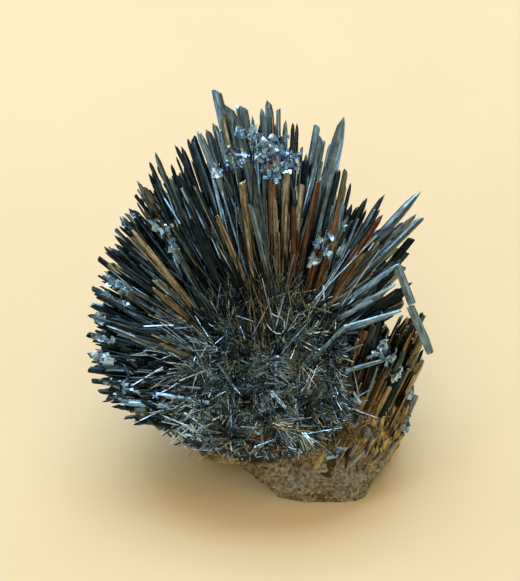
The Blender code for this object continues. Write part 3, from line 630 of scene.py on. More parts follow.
@dataclass(frozen=True)
class Loft:
    """How finely crystals are lofted, and how deep the grooves along them are.

    A crystal is its outline, a many-sided rhomb with grooves, carried from root to tip in rings,
    then drawn to a peak.
    """

    sides: int = 12
    rings: int = 6
    groove: float = 0.05
    taper: float = 0.30
    # The brow between a crystal's shoulder and its peak: girth, and place along the tip.
    brow: Pair = (0.62, 0.62)
    squareness: float = 1.25
    # The map of the surface: its breadth round a crystal one millimetre wide, and the share of the
    # length where the tip begins.
    map_breadth: float = 2.4
    tip_share: float = 0.93

    def shares(self) -> np.ndarray:
        """How far along the crystal each ring lies; the last two are the shoulder and the brow."""
        return np.append(np.linspace(0, 1, self.rings - 1), 1.0)

    def outline(self, count: int, chance: Chance) -> np.ndarray:
        """Outlines one unit across: a superellipse radius by angle, with random grooves.

        Args:
            count: how many crystals.
            chance: source of the grooves.

        Returns:
            An array (count, sides, 2).
        """
        angle = 2 * math.pi * np.arange(self.sides) / self.sides
        cosine, sine = np.cos(angle), np.sin(angle)
        power = self.squareness
        radius = (np.abs(cosine) ** power + np.abs(sine) ** power) ** (-1 / power) / 2
        grooved = radius * (1 + self.groove * chance.uniform(-1, 1, (count, self.sides)))
        return np.stack((grooved * cosine, grooved * sine), axis=2)

    def points(self, crystals: Crystals, length: np.ndarray, chance: Chance) -> np.ndarray:
        """Each ring is the outline times a girth that shrinks with the square of the way along. The
        last two rings are slanted and jagged as the crystal's end asks, and the peak closes it.

        Args:
            crystals: what to loft.
            length: length of each.
            chance: source of the grooves and the unevenness.

        Returns:
            An array (count, points of a crystal, 3): the rings, the root's point and the peak.
        """
        broad, thick, along = crystals.sides()
        count, width, shape = len(length), crystals.widths, END_SHAPES[crystals.ends]
        tip_length = np.minimum(shape[:, 0] * width * chance.uniform(0.7, 1.3, count), 0.4 * length)
        outline = self.outline(count, chance)
        share = self.shares()
        girth = 1 - self.taper * share[None, :] ** 2 + chance.uniform(-0.03, 0.03, (count, self.rings))
        girth[:, -1] *= self.brow[0]
        x = outline[:, None, :, 0] * (girth * width[:, None])[:, :, None]
        y = outline[:, None, :, 1] * (girth * (width * crystals.flats)[:, None])[:, :, None]
        z = share[None, :] * (length - tip_length)[:, None]
        z[:, -1] += self.brow[1] * tip_length
        z = np.repeat(z[:, :, None], self.sides, axis=2)
        lean = chance.choice((-1, 1), count)
        slant = (shape[:, 2] * lean)[:, None] * outline[:, :, 0]
        jag = shape[:, 3][:, None] * chance.uniform(-1, 1, (count, self.sides))
        z[:, -2] += (slant + jag) * width[:, None]
        z[:, -1] += (0.6 * slant + 0.5 * jag) * width[:, None]
        body = crystals.roots[:, None, None] + x[..., None] * broad[:, None, None]
        body = body + y[..., None] * thick[:, None, None] + z[..., None] * along[:, None, None]
        peak = crystals.roots + (shape[:, 1] * lean * width)[:, None] * broad + length[:, None] * along
        ends = (crystals.roots[:, None], peak[:, None])
        return inside_box(np.concatenate((body.reshape(count, -1, 3), *ends), axis=1))

    def faces(self, count: int) -> list[np.ndarray]:
        """The four-sided faces of all the crystals, then the three-sided ones of their ends."""
        sides, ring = self.sides, self.sides * self.rings
        side = np.arange(sides)
        after = (side + 1) % sides
        level = np.arange(self.rings - 1)[:, None] * sides
        four = (level + side, level + after, level + after + sides, level + side + sides)
        quads = np.stack(four, axis=2)
        top = np.stack((ring - sides + side, ring - sides + after, np.full(sides, ring + 1)), axis=1)
        bottom = np.stack((after, side, np.full(sides, ring)), axis=1)
        start = np.arange(count)[:, None, None] * (ring + 2)
        return [
            (quads.reshape(1, -1, 4) + start).reshape(-1, 4),
            (np.concatenate((top, bottom))[None] + start).reshape(-1, 3),
        ]

    def maps(self, width: np.ndarray, length: np.ndarray, chance: Chance) -> list[np.ndarray]:
        """The surface's map in millimetres: round each crystal, and along it from root to peak.

        Args:
            width: width of each crystal.
            length: length of each.
            chance: source of each crystal's own place on the map.

        Returns:
            Rows for the corners of each array of faces.
        """
        side, sides = np.arange(self.sides), self.sides
        breadth, height = (self.map_breadth * width)[:, None, None], length[:, None, None]
        around = np.stack((side, side + 1.0, side + 1.0, side + 0.0), axis=1) / sides
        u = np.broadcast_to(around, (self.rings - 1, sides, 4)).reshape(1, -1, 4) * breadth
        level = self.tip_share * np.append(np.linspace(0, 0.97, self.rings - 1), 1.0)
        low, high = (rows[:, None, None] + np.zeros((1, sides, 1)) for rows in (level[:-1], level[1:]))
        v = np.concatenate((low, low, high, high), axis=2).reshape(1, -1, 4) * height
        cap_u = np.tile(np.stack((side, side + 1.0, side + 0.5), axis=1) / sides, (2, 1))[None] * breadth
        cap_v = np.repeat(((self.tip_share, self.tip_share, 1.0), (0.02, 0.02, 0.0)), sides, axis=0)
        cap_v = cap_v[None] * height
        away = chance.uniform(0, 500, (len(width), 1, 1))
        pairs = ((u, v), (cap_u, cap_v))
        return [np.stack((a + away, b + away), axis=3).reshape(-1, 2) for a, b in pairs]

    def mesh(self, name: str, crystals: Crystals, seed: int) -> bpy.types.Mesh:
        """Lofts all the crystals into one mesh, after drawing them into the solids' box.

        Args:
            name: name of the mesh.
            crystals: what to loft.
            seed: picks the grooves and the unevenness.

        Returns:
            The mesh, with a UV map in millimetres and the attributes tone and along.
        """
        chance = np.random.default_rng(seed)
        crystals.draw_into_box()
        length = crystals.lengths
        points = self.points(crystals, length, chance)
        maps = self.maps(crystals.widths, length, chance)
        made = mesh_of(name, points.reshape(-1, 3), self.faces(len(length)), maps)
        made.shade_flat()
        way = np.concatenate((np.repeat(self.shares(), self.sides), (0.0, 1.0)))
        add_attribute(made, "tone", np.repeat(crystals.tones, len(way)))
        add_attribute(made, "along", np.tile(way, len(length)))
        return made


# Lofts from the broad blades to the fibres, and one for the plates of the druse.
BLADE_LOFT = Loft()
MIDDLE_LOFT = Loft(sides=8, rings=4, groove=0.07)
NEEDLE_LOFT = Loft(sides=6, rings=3, groove=0.10, taper=0.4)
FINE_LOFT = Loft(sides=4, rings=2, groove=0.10, taper=0.3)
FIBRE_LOFT = Loft(sides=3, rings=2, groove=0.0, taper=0.0)
STUB_LOFT = Loft(sides=7, rings=3, taper=0.2)
SIDE_LOFT = Loft(sides=10, rings=5, groove=0.10)
SPLINTER_LOFT = Loft(sides=8, rings=4, groove=0.12, taper=0.15)
CRUST_LOFT = Loft(sides=6, rings=3, groove=0.14, taper=0.15)
LOOSE_LOFT = Loft(taper=0.06)
DRUSE_LOFT = Loft(sides=7, rings=3, groove=0.3, taper=0.1, brow=(0.7, 0.3))


class Surface(NamedTuple):
    """The points of a mesh in millimetres, and the normals there."""

    points: np.ndarray
    normals: np.ndarray


def surface_of(mesh: bpy.types.Mesh) -> Surface:
    """Reads the surface of a mesh."""
    rows = []
    for source, key in ((mesh.vertices, "co"), (mesh.vertex_normals, "vector")):
        values = np.empty(len(source) * 3, np.float32)
        source.foreach_get(key, values)
        rows.append(values.reshape(-1, 3).astype(float))
    return Surface(rows[0] / MM, rows[1])


def mesh_of(
    name: str, points: np.ndarray, faces: list[np.ndarray], maps: list[np.ndarray] | None = None,
) -> bpy.types.Mesh:
    """A mesh from whole arrays.

    Args:
        name: name of the mesh.
        points: rows of (x, y, z) in millimetres.
        faces: arrays of corner numbers, one for each count of corners a face.
        maps: for each array of faces, a row of the UV map for each of its corners.

    Returns:
        The mesh, in metres.
    """
    made = bpy.data.meshes.new(name)
    made.vertices.add(len(points))
    made.vertices.foreach_set("co", (points * MM).astype(np.float32).ravel())
    corners = np.concatenate([face.ravel() for face in faces]).astype(np.int32)
    counts = np.concatenate([np.full(len(face), face.shape[1]) for face in faces])
    made.loops.add(len(corners))
    made.loops.foreach_set("vertex_index", corners)
    made.polygons.add(len(counts))
    made.polygons.foreach_set("loop_start", (np.cumsum(counts) - counts).astype(np.int32))
    if maps:
        layer = made.uv_layers.new(name="surface")
        layer.data.foreach_set("uv", np.concatenate(maps).astype(np.float32).ravel())
    made.update(calc_edges=True)
    made.validate()
    return made


def add_attribute(made: bpy.types.Mesh, name: str, values: np.ndarray) -> None:
    """Gives each corner point of a mesh a number under a name."""
    attribute = made.attributes.new(name, "FLOAT", "POINT")
    attribute.data.foreach_set("value", values.astype(np.float32))


def closed_rings(rings: int, sides: int) -> list[np.ndarray]:
    """Faces of a row of rings that run round to the left as seen along the row.

    Args:
        rings: how many rings.
        sides: points in a ring.

    Returns:
        The faces between the rings, and those that close both ends at the two points that follow.
    """
    side = np.arange(sides)
    after = (side + 1) % sides
    level = np.arange(rings - 1)[:, None] * sides
    quads = np.stack((level + side, level + side + sides, level + after + sides, level + after), axis=2)
    last, end = (rings - 1) * sides, rings * sides
    first_cap = np.stack((side, after, np.full(sides, end)), axis=1)
    last_cap = np.stack((last + after, last + side, np.full(sides, end + 1)), axis=1)
    return [quads.reshape(-1, 4), np.concatenate((first_cap, last_cap))]


def grid_ball(name: str, radius: np.ndarray, ways: np.ndarray, centre: np.ndarray) -> bpy.types.Mesh:
    """A closed surface whose distance from a centre is given by direction.

    Args:
        name: name of the mesh.
        radius: array (rings, sides) of distances; the first and last rings are the poles.
        ways: array (rings, sides, 3) of directions, running round to the right seen from outside.
        centre: the point that they start from.

    Returns:
        The mesh, with each pole as one point.
    """
    rings, sides = radius.shape
    grid = centre + ways * radius[..., None]
    poles = np.stack((grid[0].mean(axis=0), grid[-1].mean(axis=0)))
    points = inside_box(np.concatenate((grid[1:-1].reshape(-1, 3), poles)))
    return mesh_of(name, points, closed_rings(rings - 2, sides))


def linear(code: str) -> tuple[float, float, float, float]:
    """The linear colour of an sRGB hex value."""
    values = [int(code[place:place + 2], 16) / 255 for place in (1, 3, 5)]
    return (*(v / 12.92 if v <= 0.04045 else ((v + 0.055) / 1.055) ** 2.4 for v in values), 1.0)


def fill(tree: Tree, node: bpy.types.Node, inputs: dict) -> None:
    """Gives a node's input sockets, by name or number, a value or an output socket to join."""
    for name, value in inputs.items():
        if isinstance(value, bpy.types.NodeSocket):
            tree.links.new(value, node.inputs[name])
        else:
            node.inputs[name].default_value = value


def add_node(
    tree: Tree, kind: str, inputs: dict | None = None, **properties: object,
) -> bpy.types.Node:
    """Adds a node to a material.

    Args:
        tree: the material's node tree.
        kind: the node's type name without its ShaderNode prefix.
        inputs: for its input sockets, by name or number, a value or an output socket to join.
        properties: values for its properties.

    Returns:
        The node.
    """
    node = tree.nodes.new("ShaderNode" + kind)
    for name, value in properties.items():
        setattr(node, name, value)
    fill(tree, node, inputs or {})
    return node


def set_stops(ramp: bpy.types.ColorRamp, stops: Sequence[tuple[float, str]]) -> None:
    """Gives a colour ramp its stops, as places and sRGB hex values."""
    while len(ramp.elements) < len(stops):
        ramp.elements.new(0.5)
    for element, (where, code) in zip(ramp.elements, stops):
        element.position, element.color = where, linear(code)


@dataclass(frozen=True)
class Finish:
    """The look of a real material. A kind of finish says with what the shader's inputs are filled."""

    name: str

    def shading(self, tree: Tree) -> dict:
        """Adds the finish's nodes, and gives what fills the shader's inputs."""
        raise NotImplementedError

    def material(self) -> bpy.types.Material:
        """The finish as a material, made at its first use."""
        made = bpy.data.materials.get(self.name)
        if made is None:
            made = bpy.data.materials.new(self.name)
            made.use_nodes = True
            tree = made.node_tree
            fill(tree, tree.nodes["Principled BSDF"], self.shading(tree))
        return made


# The colours of stibnite from its dark faces to its stained ones, in the order of Tone: on the blades,
# on the pale needles of the heart, on the glittering druse, and on iron-stained splinters. The browns
# are iron stain; the steel and blue colours are painted reflection of the bluish lamps.
BLADE_COLOURS = ("#26353D", "#718995", "#80A3B9", "#727666", "#A59C7E", "#6A4B3E", "#876A51")
# The felt's colours are a lighter copy of the blades' as painted light, since each fibre lies in its
# neighbours' shade.
FELT_COLOURS = ("#22323B", "#C4E3F2", "#B6E0FB", "#929D89", "#CDC294", "#7B5440", "#B08A58")
# The druse's colours are pale ice-blue as painted reflection: the glitter of mirrored light.
DRUSE_COLOURS = ("#46708A", "#95C6E6", "#D0ECFF", "#C4CCC4", "#C9C2A4", "#A08C74", "#B9A27C")
STAINED_COLOURS = ("#33291B", "#848A80", "#7892A0", "#94824F", "#D2BA7C", "#7A5133", "#AA7E45")


@dataclass(frozen=True)
class BladeFinish(Finish):
    """Stibnite: antimony sulphide with a steel shine, stained brown in places, with blue tints that are
    painted reflection.

    It grows as blades grooved along their length, which break one reflection into many thin lines.
    It reads the surface map and the attributes tone and along.
    """

    colours: tuple[str, ...] = BLADE_COLOURS
    groove_mm: float = 0.16
    groove_height_mm: float = 0.05
    # How many times as long as wide a groove is.
    groove_length: float = 40.0
    rough: Pair = (0.16, 0.40)
    # Painted shade at the root: the brightness there, which is full again over half way along.
    root_shade: float = 0.35
    metallic: float = 1.0
    # The brown film's colour, and its share where it is thickest.
    film: str = "#5C4A33"
    stain: float = 0.45

    def shading(self, tree: Tree) -> dict:
        """Grooves and bands run along the surface map, and a thin film lies over them in clouds. The
        bands are painted light and shade: lighter and darker stripes along each blade.
        """
        tone = add_node(tree, "Attribute", attribute_name="tone").outputs["Fac"]
        along = add_node(tree, "Attribute", attribute_name="along").outputs["Fac"]
        surface = add_node(tree, "UVMap", uv_map="surface").outputs[0]
        place = add_node(tree, "TexCoord").outputs["Object"]
        ramp = add_node(tree, "ValToRGB", {"Fac": tone})
        set_stops(ramp.color_ramp, [(one.value, code) for one, code in zip(Tone, self.colours)])
        # The surface map is in millimetres, so a groove's width gives the scale across.
        grain = (1 / self.groove_mm, 1 / (self.groove_length * self.groove_mm), 1.0)
        stretched = add_node(tree, "Mapping", {"Scale": grain, 0: surface})
        grooves = add_node(tree, "TexNoise", {
            "Scale": 1.0, "Detail": 3.0, "Roughness": 0.6, "Vector": stretched.outputs[0]})
        broad = (0.36 / self.groove_mm, 0.5, 1.0)
        banded = add_node(tree, "Mapping", {"Scale": broad, 0: surface})
        bands = add_node(tree, "TexNoise", {
            "Scale": 0.6, "Detail": 5.0, "Roughness": 0.7, "Vector": banded.outputs[0]})
        film = add_node(tree, "TexNoise", {
            "Scale": 260.0, "Detail": 4.0, "Roughness": 0.6, "Vector": place}).outputs["Fac"]
        # Painted light and shade: the colour is scaled from 0.3 to 1.5 in bands along each blade.
        light = add_node(tree, "MapRange", {
            "From Min": 0.34, "From Max": 0.66, "To Min": 0.3, "To Max": 1.5,
            "Value": bands.outputs["Fac"]})
        # Painted shade: the colour is darker towards the root, where the blades crowd together.
        root = add_node(tree, "MapRange", {
            "From Min": 0.0, "From Max": 0.55, "To Min": self.root_shade, "To Max": 1.0, "Value": along})
        bright = add_node(tree, "Math", {0: light.outputs[0], 1: root.outputs[0]}, operation="MULTIPLY")
        shaded = add_node(tree, "VectorMath", {
            0: ramp.outputs["Color"], "Scale": bright.outputs[0]}, operation="SCALE")
        brown = add_node(tree, "MapRange", {
            "From Min": 0.55, "From Max": 0.75, "To Min": 0.0, "To Max": self.stain, "Value": film})
        stained = add_node(tree, "Mix", {
            0: brown.outputs[0], 6: shaded.outputs[0], 7: linear(self.film),
        }, data_type="RGBA").outputs[2]
        smooth, dull = self.rough
        rough = add_node(tree, "MapRange", {
            "From Min": 0.3, "From Max": 0.7, "To Min": smooth, "To Max": dull, "Value": film,
        }).outputs[0]
        relief = {"Strength": 0.35, "Distance": self.groove_height_mm * MM}
        bump = add_node(tree, "Bump", {**relief, "Height": grooves.outputs["Fac"]}).outputs[0]
        return {"Base Color": stained, "Roughness": rough, "Normal": bump, "Metallic": self.metallic}


@dataclass(frozen=True)
class RockFinish(Finish):
    """Iron-stained vein quartz: dull brown grains with a few bright crystal faces among them.

    It reads Object coordinates, in metres, and the attribute crust.
    """

    dark: str = "#42331F"
    brown: str = "#8B7B5A"
    sand: str = "#B6A783"
    grey: str = "#8B8675"
    grain_mm: float = 0.5
    # The crust's fibres: their colours from the gaps between them to their crests, dark in the gaps as
    # painted shade and light grey on the crests as painted highlight over the crust's own browns, then
    # their width and stretch.
    fibres: tuple[tuple[float, str], ...] = (
        (0.34, "#1E1710"), (0.44, "#5A4527"), (0.54, "#8E7748"), (0.64, "#B7A06A"), (0.74, "#8D9187"),
    )
    fibre_mm: float = 0.55
    fibre_stretch: float = 14.0
    rough: float = 0.8

    def shading(self, tree: Tree) -> dict:
        """Grains of two sizes under clouds of stain, and fibres in their place on the crust, with
        painted shade in its gaps and pits.
        """
        place = add_node(tree, "TexCoord").outputs["Object"]
        grain_scale, fibre_scale = 0.5 / (self.grain_mm * MM), 0.5 / (self.fibre_mm * MM)
        grain = add_node(tree, "TexNoise", {
            "Scale": grain_scale, "Detail": 5.0, "Roughness": 0.7, "Vector": place}).outputs["Fac"]
        stain = add_node(tree, "TexNoise", {
            "Scale": 130.0, "Detail": 5.0, "Roughness": 0.62, "Vector": place})
        cloud = add_node(tree, "TexNoise", {
            "Scale": 60.0, "Detail": 3.0, "Roughness": 0.5, "Vector": place})
        cells = add_node(tree, "TexVoronoi", {"Scale": 1 / (self.grain_mm * MM), "Vector": place})
        ramp = add_node(tree, "ValToRGB", {"Fac": stain.outputs["Fac"]})
        set_stops(ramp.color_ramp, [(0.32, self.dark), (0.5, self.brown), (0.70, self.sand)])
        grey = add_node(tree, "MapRange", {
            "From Min": 0.45, "From Max": 0.62, "Value": cloud.outputs["Fac"]})
        stone = add_node(tree, "Mix", {
            0: grey.outputs[0], 6: ramp.outputs["Color"], 7: linear(self.grey)}, data_type="RGBA")
        speck = add_node(tree, "MapRange", {
            "From Min": 0.38, "From Max": 0.62, "To Min": 0.22, "To Max": 1.7, "Value": grain})
        stone = add_node(tree, "VectorMath", {
            0: stone.outputs[2], "Scale": speck.outputs[0]}, operation="SCALE").outputs[0]
        height = add_node(tree, "Math", {0: grain, 1: cells.outputs["Distance"]}, operation="ADD")
        # The crust: noise drawn out along the fibres, in a frame whose third axis is their direction.
        turn = Vector(CRUST_WAY).to_track_quat("Z", "Y").to_euler()
        drawn = add_node(tree, "Mapping", {
            "Rotation": turn, "Scale": (1.0, 1.0, self.fibre_stretch), "Vector": place,
        }, vector_type="TEXTURE")
        fibre = add_node(tree, "TexNoise", {
            "Scale": fibre_scale, "Detail": 4.0, "Roughness": 0.65, "Vector": drawn.outputs[0],
        }).outputs["Fac"]
        # Painted shade in the crust's pits: a fine noise scales its colour from 0.10 to 1.25.
        holes = add_node(tree, "TexNoise", {
            "Scale": 300.0, "Detail": 3.0, "Roughness": 0.6, "Vector": place})
        tints = add_node(tree, "ValToRGB", {"Fac": fibre})
        set_stops(tints.color_ramp, self.fibres)
        depth = add_node(tree, "MapRange", {
            "From Min": 0.42, "From Max": 0.58, "To Min": 0.10, "To Max": 1.25,
            "Value": holes.outputs["Fac"]})
        crust = add_node(tree, "VectorMath", {
            0: tints.outputs["Color"], "Scale": depth.outputs[0]}, operation="SCALE").outputs[0]
        share = add_node(tree, "Attribute", attribute_name="crust").outputs["Fac"]
        colour = add_node(tree, "Mix", {0: share, 6: stone, 7: crust}, data_type="RGBA").outputs[2]
        height = add_node(tree, "Mix", {0: share, 2: height.outputs[0], 3: fibre}).outputs[0]
        relief = {"Strength": 0.8, "Distance": 0.25 * self.grain_mm * MM, "Height": height}
        bump = add_node(tree, "Bump", relief).outputs[0]
        return {"Base Color": colour, "Normal": bump, "Roughness": self.rough}


@dataclass(frozen=True)
class PlainFinish(Finish):
    """A finish with one colour, broken by a faint cloudiness. It reads Object coordinates."""

    colour: str
    rough: float
    cloud_mm: float = 1.0
    depth: float = 0.12

    def shading(self, tree: Tree) -> dict:
        """Clouds a little lighter and darker than the colour."""
        place = add_node(tree, "TexCoord").outputs["Object"]
        clouds = {"Scale": 1 / (self.cloud_mm * MM), "Detail": 3.0, "Vector": place}
        cloud = add_node(tree, "TexNoise", clouds).outputs["Fac"]
        light = add_node(tree, "MapRange", {
            "From Min": 0.3, "From Max": 0.7, "To Min": 1 - self.depth, "To Max": 1 + self.depth,
            "Value": cloud})
        shaded = add_node(tree, "VectorMath", {
            0: linear(self.colour)[:3], "Scale": light.outputs[0]}, operation="SCALE").outputs[0]
        return {"Base Color": shaded, "Roughness": self.rough}


# Dark steel mirrors in thin lines, which sink into painted brown shade towards the heart.
STIBNITE = BladeFinish("striated_stibnite")
# The same blades where they stand free of each other, and stay bright down to their roots with little
# painted shade there.
CLEAN_STIBNITE = BladeFinish("clean_stibnite", root_shade=0.85)
# A fibrous mat of pale and dark needles with a soft sheen; their tints are painted light, lighter than
# the blades', since each fibre lies in its neighbours' shade.
FELTED_STIBNITE = BladeFinish("felted_stibnite", FELT_COLOURS, 0.3, root_shade=0.95)
# Pale blue needles with painted light along their whole length: their light tints, half metallic, stay
# pale where nothing bright is mirrored.
CLEAN_NEEDLES = BladeFinish(
    "clean_needles", FELT_COLOURS, 0.3, rough=(0.16, 0.36), root_shade=1.0, metallic=0.6)
# Glitter like crumpled foil, with no brown on it; its ice-blue is painted reflection.
DRUSE_STIBNITE = BladeFinish(
    "druse_stibnite", DRUSE_COLOURS, 0.25, rough=(0.22, 0.46), root_shade=1.0, metallic=0.8, stain=0.0)
# Splinters gone dull and ochre, with the shine left on a few.
STAINED_SPLINTERS = BladeFinish(
    "iron_stained_splinters", STAINED_COLOURS, rough=(0.35, 0.6), root_shade=0.8, metallic=0.3)
# Crumbly brown stone with sandy grains and grey clouds.
STAINED_ROCK = RockFinish("iron_stained_rock")
# The dark ground that shows through between the needles.
BROWN_ROOT = RockFinish("brown_root", "#1B1B19", "#37332A", "#5C503A", "#3C4040")
# A bluish white thread.
COTTON_LINT = PlainFinish("cotton_lint", "#E6F1FF", 0.85)
# Warm cream paper without a shine.
UNCOATED_PAPER = PlainFinish("uncoated_paper", "#E8D1A4", 0.9, cloud_mm=60.0, depth=0.015)


def add_object(name: str, data: bpy.types.ID) -> bpy.types.Object:
    """Puts a mesh, a lamp or a camera in the scene."""
    made = bpy.data.objects.new(name, data)
    bpy.context.scene.collection.objects.link(made)
    return made


def place_piece(
    name: str, mesh: bpy.types.Mesh, finish: Finish, stands_for: tuple[str, ...] = (),
) -> bpy.types.Object:
    """Puts a mesh in the scene as a piece of the object.

    Args:
        name: name of the piece.
        mesh: its mesh, already in place.
        finish: its finish.
        stands_for: the solids that it stands for.

    Returns:
        The piece.
    """
    piece = add_object(name, mesh)
    mesh.materials.clear()
    mesh.materials.append(finish.material())
    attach(piece, BODY)
    if stands_for:
        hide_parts(*stands_for)
    log.info("%s: %d triangles", name, len(mesh.loops) - 2 * len(mesh.polygons))
    return piece


@dataclass(frozen=True)
class Fan:
    """A seeded spread of crystals between two bearings of the rim, from the roots of their bearings.

    Splay is the angle between a crystal and the way out of the face: past 90 degrees it runs
    backwards. Share is how far towards the rim its tip lies. Bearings follow the golden section.
    """

    name: str
    count: int
    seed: int
    bearings: Pair
    share: Pair
    splay: Pair
    width: Pair
    loft: Loft
    # Share of inner colours at the top, where they lie about one bearing within a spread.
    inner: float = 0.0
    companions: int = 0
    inner_bearing: float = 8.0
    inner_spread: float = 45.0
    finish: BladeFinish = STIBNITE
    centre_out: float = -5.0
    # Where its crystals are rooted: the depth, its change with the splay, the share of the way from
    # the heart to ROOTS, and the scatter, in millimetres.
    root_out: float = -6.0
    root_lift: float = 12.0
    root_reach: float = 1.0
    root_scatter: float = 1.8
    lowest_tip: float = 1.0
    # Painted shade: the share of its crystals that are dark where they point to the lower left, the
    # bearing where that begins, and the degrees until it is full.
    gloom: float = 0.6
    gloom_bearing: float = -50.0
    gloom_spread: float = 30.0
    bears_druse: bool = False

    def crystals(self) -> Crystals:
        """The fan's crystals: each tip is its heading times the rim's reach times its share."""
        chance = np.random.default_rng(self.seed)
        number, count = np.arange(self.count), self.count
        first, last = self.bearings
        bearing = first + (last - first) * ((number * GOLDEN_STEP) % 1.0)
        depth = (number + 0.5) / count
        splay = self.splay[0] + (self.splay[1] - self.splay[0]) * depth + chance.uniform(-3, 3, count)
        splay = np.radians(splay)
        share = self.share[1] + (self.share[0] - self.share[1]) * chance.permutation(depth)
        reach = rim_reach(bearing) * share * chance.uniform(0.9, 1.0, count)
        tip = heading_of(np.radians(bearing), splay) * reach[:, None] + (0, 0, self.centre_out)
        across, up = (
            np.interp(bearing, ROOTS[:, 0], ROOTS[:, column]) * np.sin(splay) * self.root_reach
            for column in (1, 2))
        root = np.stack((across, up, self.root_out + self.root_lift * np.cos(splay)), axis=1)
        root[:, :2] += chance.normal(0, self.root_scatter, (count, 2))
        width = chance.uniform(*self.width, count)
        bell = np.exp(-(((bearing - self.inner_bearing) / self.inner_spread) ** 2))
        inner = chance.uniform(size=count) < self.inner * bell
        tones = np.where(inner, INNER_MIX.draw(count, chance), OUTER_MIX.draw(count, chance))
        # Painted shade on the lower left: some crystals are turned dark.
        gloom = np.clip((self.gloom_bearing - bearing) / self.gloom_spread, 0.0, 1.0)
        dark = chance.uniform(size=count) < self.gloom * gloom
        tones = np.where(dark, Tone.DARK.value, tones)
        ends = chance.choice((0, 0, 1, 2), count)
        made = Crystals.made(FACE.world(tip), FACE.world(root), width, ends, tones, chance)
        made = made.kept(made.tips[:, 2] > self.lowest_tip)
        return made.with_companions(self.companions, chance) if self.companions else made


# The seeded fans, in the order in which they are built.
FANS = (
    # name, count, seed, bearings, share, splay, width, loft, inner, companions
    Fan("filling_blades", 230, 5, (-118, 66), (0.66, 0.97), (88, 102), (1.3, 2.3), MIDDLE_LOFT, 0.3, 2,
        bears_druse=True),
    Fan("rear_blades", 300, 11, (-128, 128), (0.6, 0.95), (98, 138), (0.9, 2.6), MIDDLE_LOFT, 0.0, 1,
        lowest_tip=16.0),
    Fan("right_filling", 80, 13, (46, 84), (0.80, 1.12), (93, 106), (1.2, 2.2), MIDDLE_LOFT, 0.1, 2),
    Fan("slim_blades", 300, 6, (-118, 72), (0.45, 0.9), (86, 97), (0.6, 1.3), NEEDLE_LOFT, 0.6,
        bears_druse=True),
    Fan("short_needles", 420, 7, (-125, 95), (0.22, 0.5), (74, 94), (0.28, 0.6), NEEDLE_LOFT, 0.8,
        root_reach=0.8),
    Fan("bridging_needles", 620, 14, (-140, 110), (0.34, 0.66), (82, 94), (0.2, 0.65), NEEDLE_LOFT, 0.5,
        root_out=-4.5, root_reach=0.75),
    Fan("left_filling", 440, 15, (-121, -24), (0.84, 1.03), (91, 104), (0.6, 1.5), MIDDLE_LOFT, 0.0, 1),
    Fan("left_rim", 400, 19, (-121, -50), (0.90, 1.03), (92, 112), (0.7, 1.7), MIDDLE_LOFT, 0.0, 1,
        gloom=0.9),
    Fan("pale_right_needles", 190, 18, (38, 104), (0.36, 0.9), (79, 91), (0.3, 1.0), FINE_LOFT,
        finish=CLEAN_NEEDLES, root_out=-3.8),
    Fan("pale_needles", 80, 16, (-132, -68), (0.38, 0.78), (80, 90), (0.22, 0.5), FINE_LOFT,
        finish=CLEAN_NEEDLES, root_out=-3.6),
    Fan("heart_fibres", 260, 8, (-80, 80), (0.12, 0.36), (55, 88), (0.14, 0.34), FIBRE_LOFT, 1.0,
        finish=FELTED_STIBNITE, root_out=-3.5, root_reach=0.45),
)


@dataclass(frozen=True)
class SprayRoot:
    """The solid root behind the face, a lump whose front is the floor that the felt grows on."""

    centre: Triple = (0.0, -3.0, -13.0)
    floor: float = -2.8
    back: float = 18.8
    rings: int = 120
    sides: int = 220
    crag: float = 0.5
    # How far the crags' mean lies below the reach, in millimetres.
    sunk: float = 0.25

    def reach(self, ways: np.ndarray) -> np.ndarray:
        """The root's radius along directions: the rim's reach sideways, its depth at the back, and
        the felt's floor in front, with crags all over.

        Args:
            ways: directions on the face, in any shape that ends in (across, up, out).

        Returns:
            A radius for each, in millimetres.
        """
        sideways = np.hypot(ways[..., 0], ways[..., 1]) / rim_reach(bearing_of(ways), 2)
        nearness = np.hypot(sideways, np.minimum(ways[..., 2], 0) / self.back)
        level = (self.floor - self.centre[2]) / np.maximum(ways[..., 2], 1e-6)
        radius = np.minimum(1 / np.maximum(nearness, 1e-6), level)
        places = np.asarray(self.centre) + ways * radius[..., None]
        crags = waves(places.reshape(-1, 3), length=6.0, seed=7, octaves=6, fade=0.62)
        return radius - self.sunk + self.crag * crags.reshape(radius.shape)

    def mesh(self) -> bpy.types.Mesh:
        """The root as a closed ball of rings from the front pole to the back one."""
        polar = np.linspace(0, math.pi, self.rings)[:, None]
        azimuth = np.linspace(0, 2 * math.pi, self.sides, endpoint=False)[None]
        ring, level = np.sin(polar), np.cos(polar) + 0 * azimuth
        ways = np.stack((ring * np.cos(azimuth), ring * np.sin(azimuth), level), axis=2)
        turn = np.stack((FACE.across, FACE.up, FACE.out))
        return grid_ball("spray_root", self.reach(ways), ways @ turn, FACE.world(self.centre))


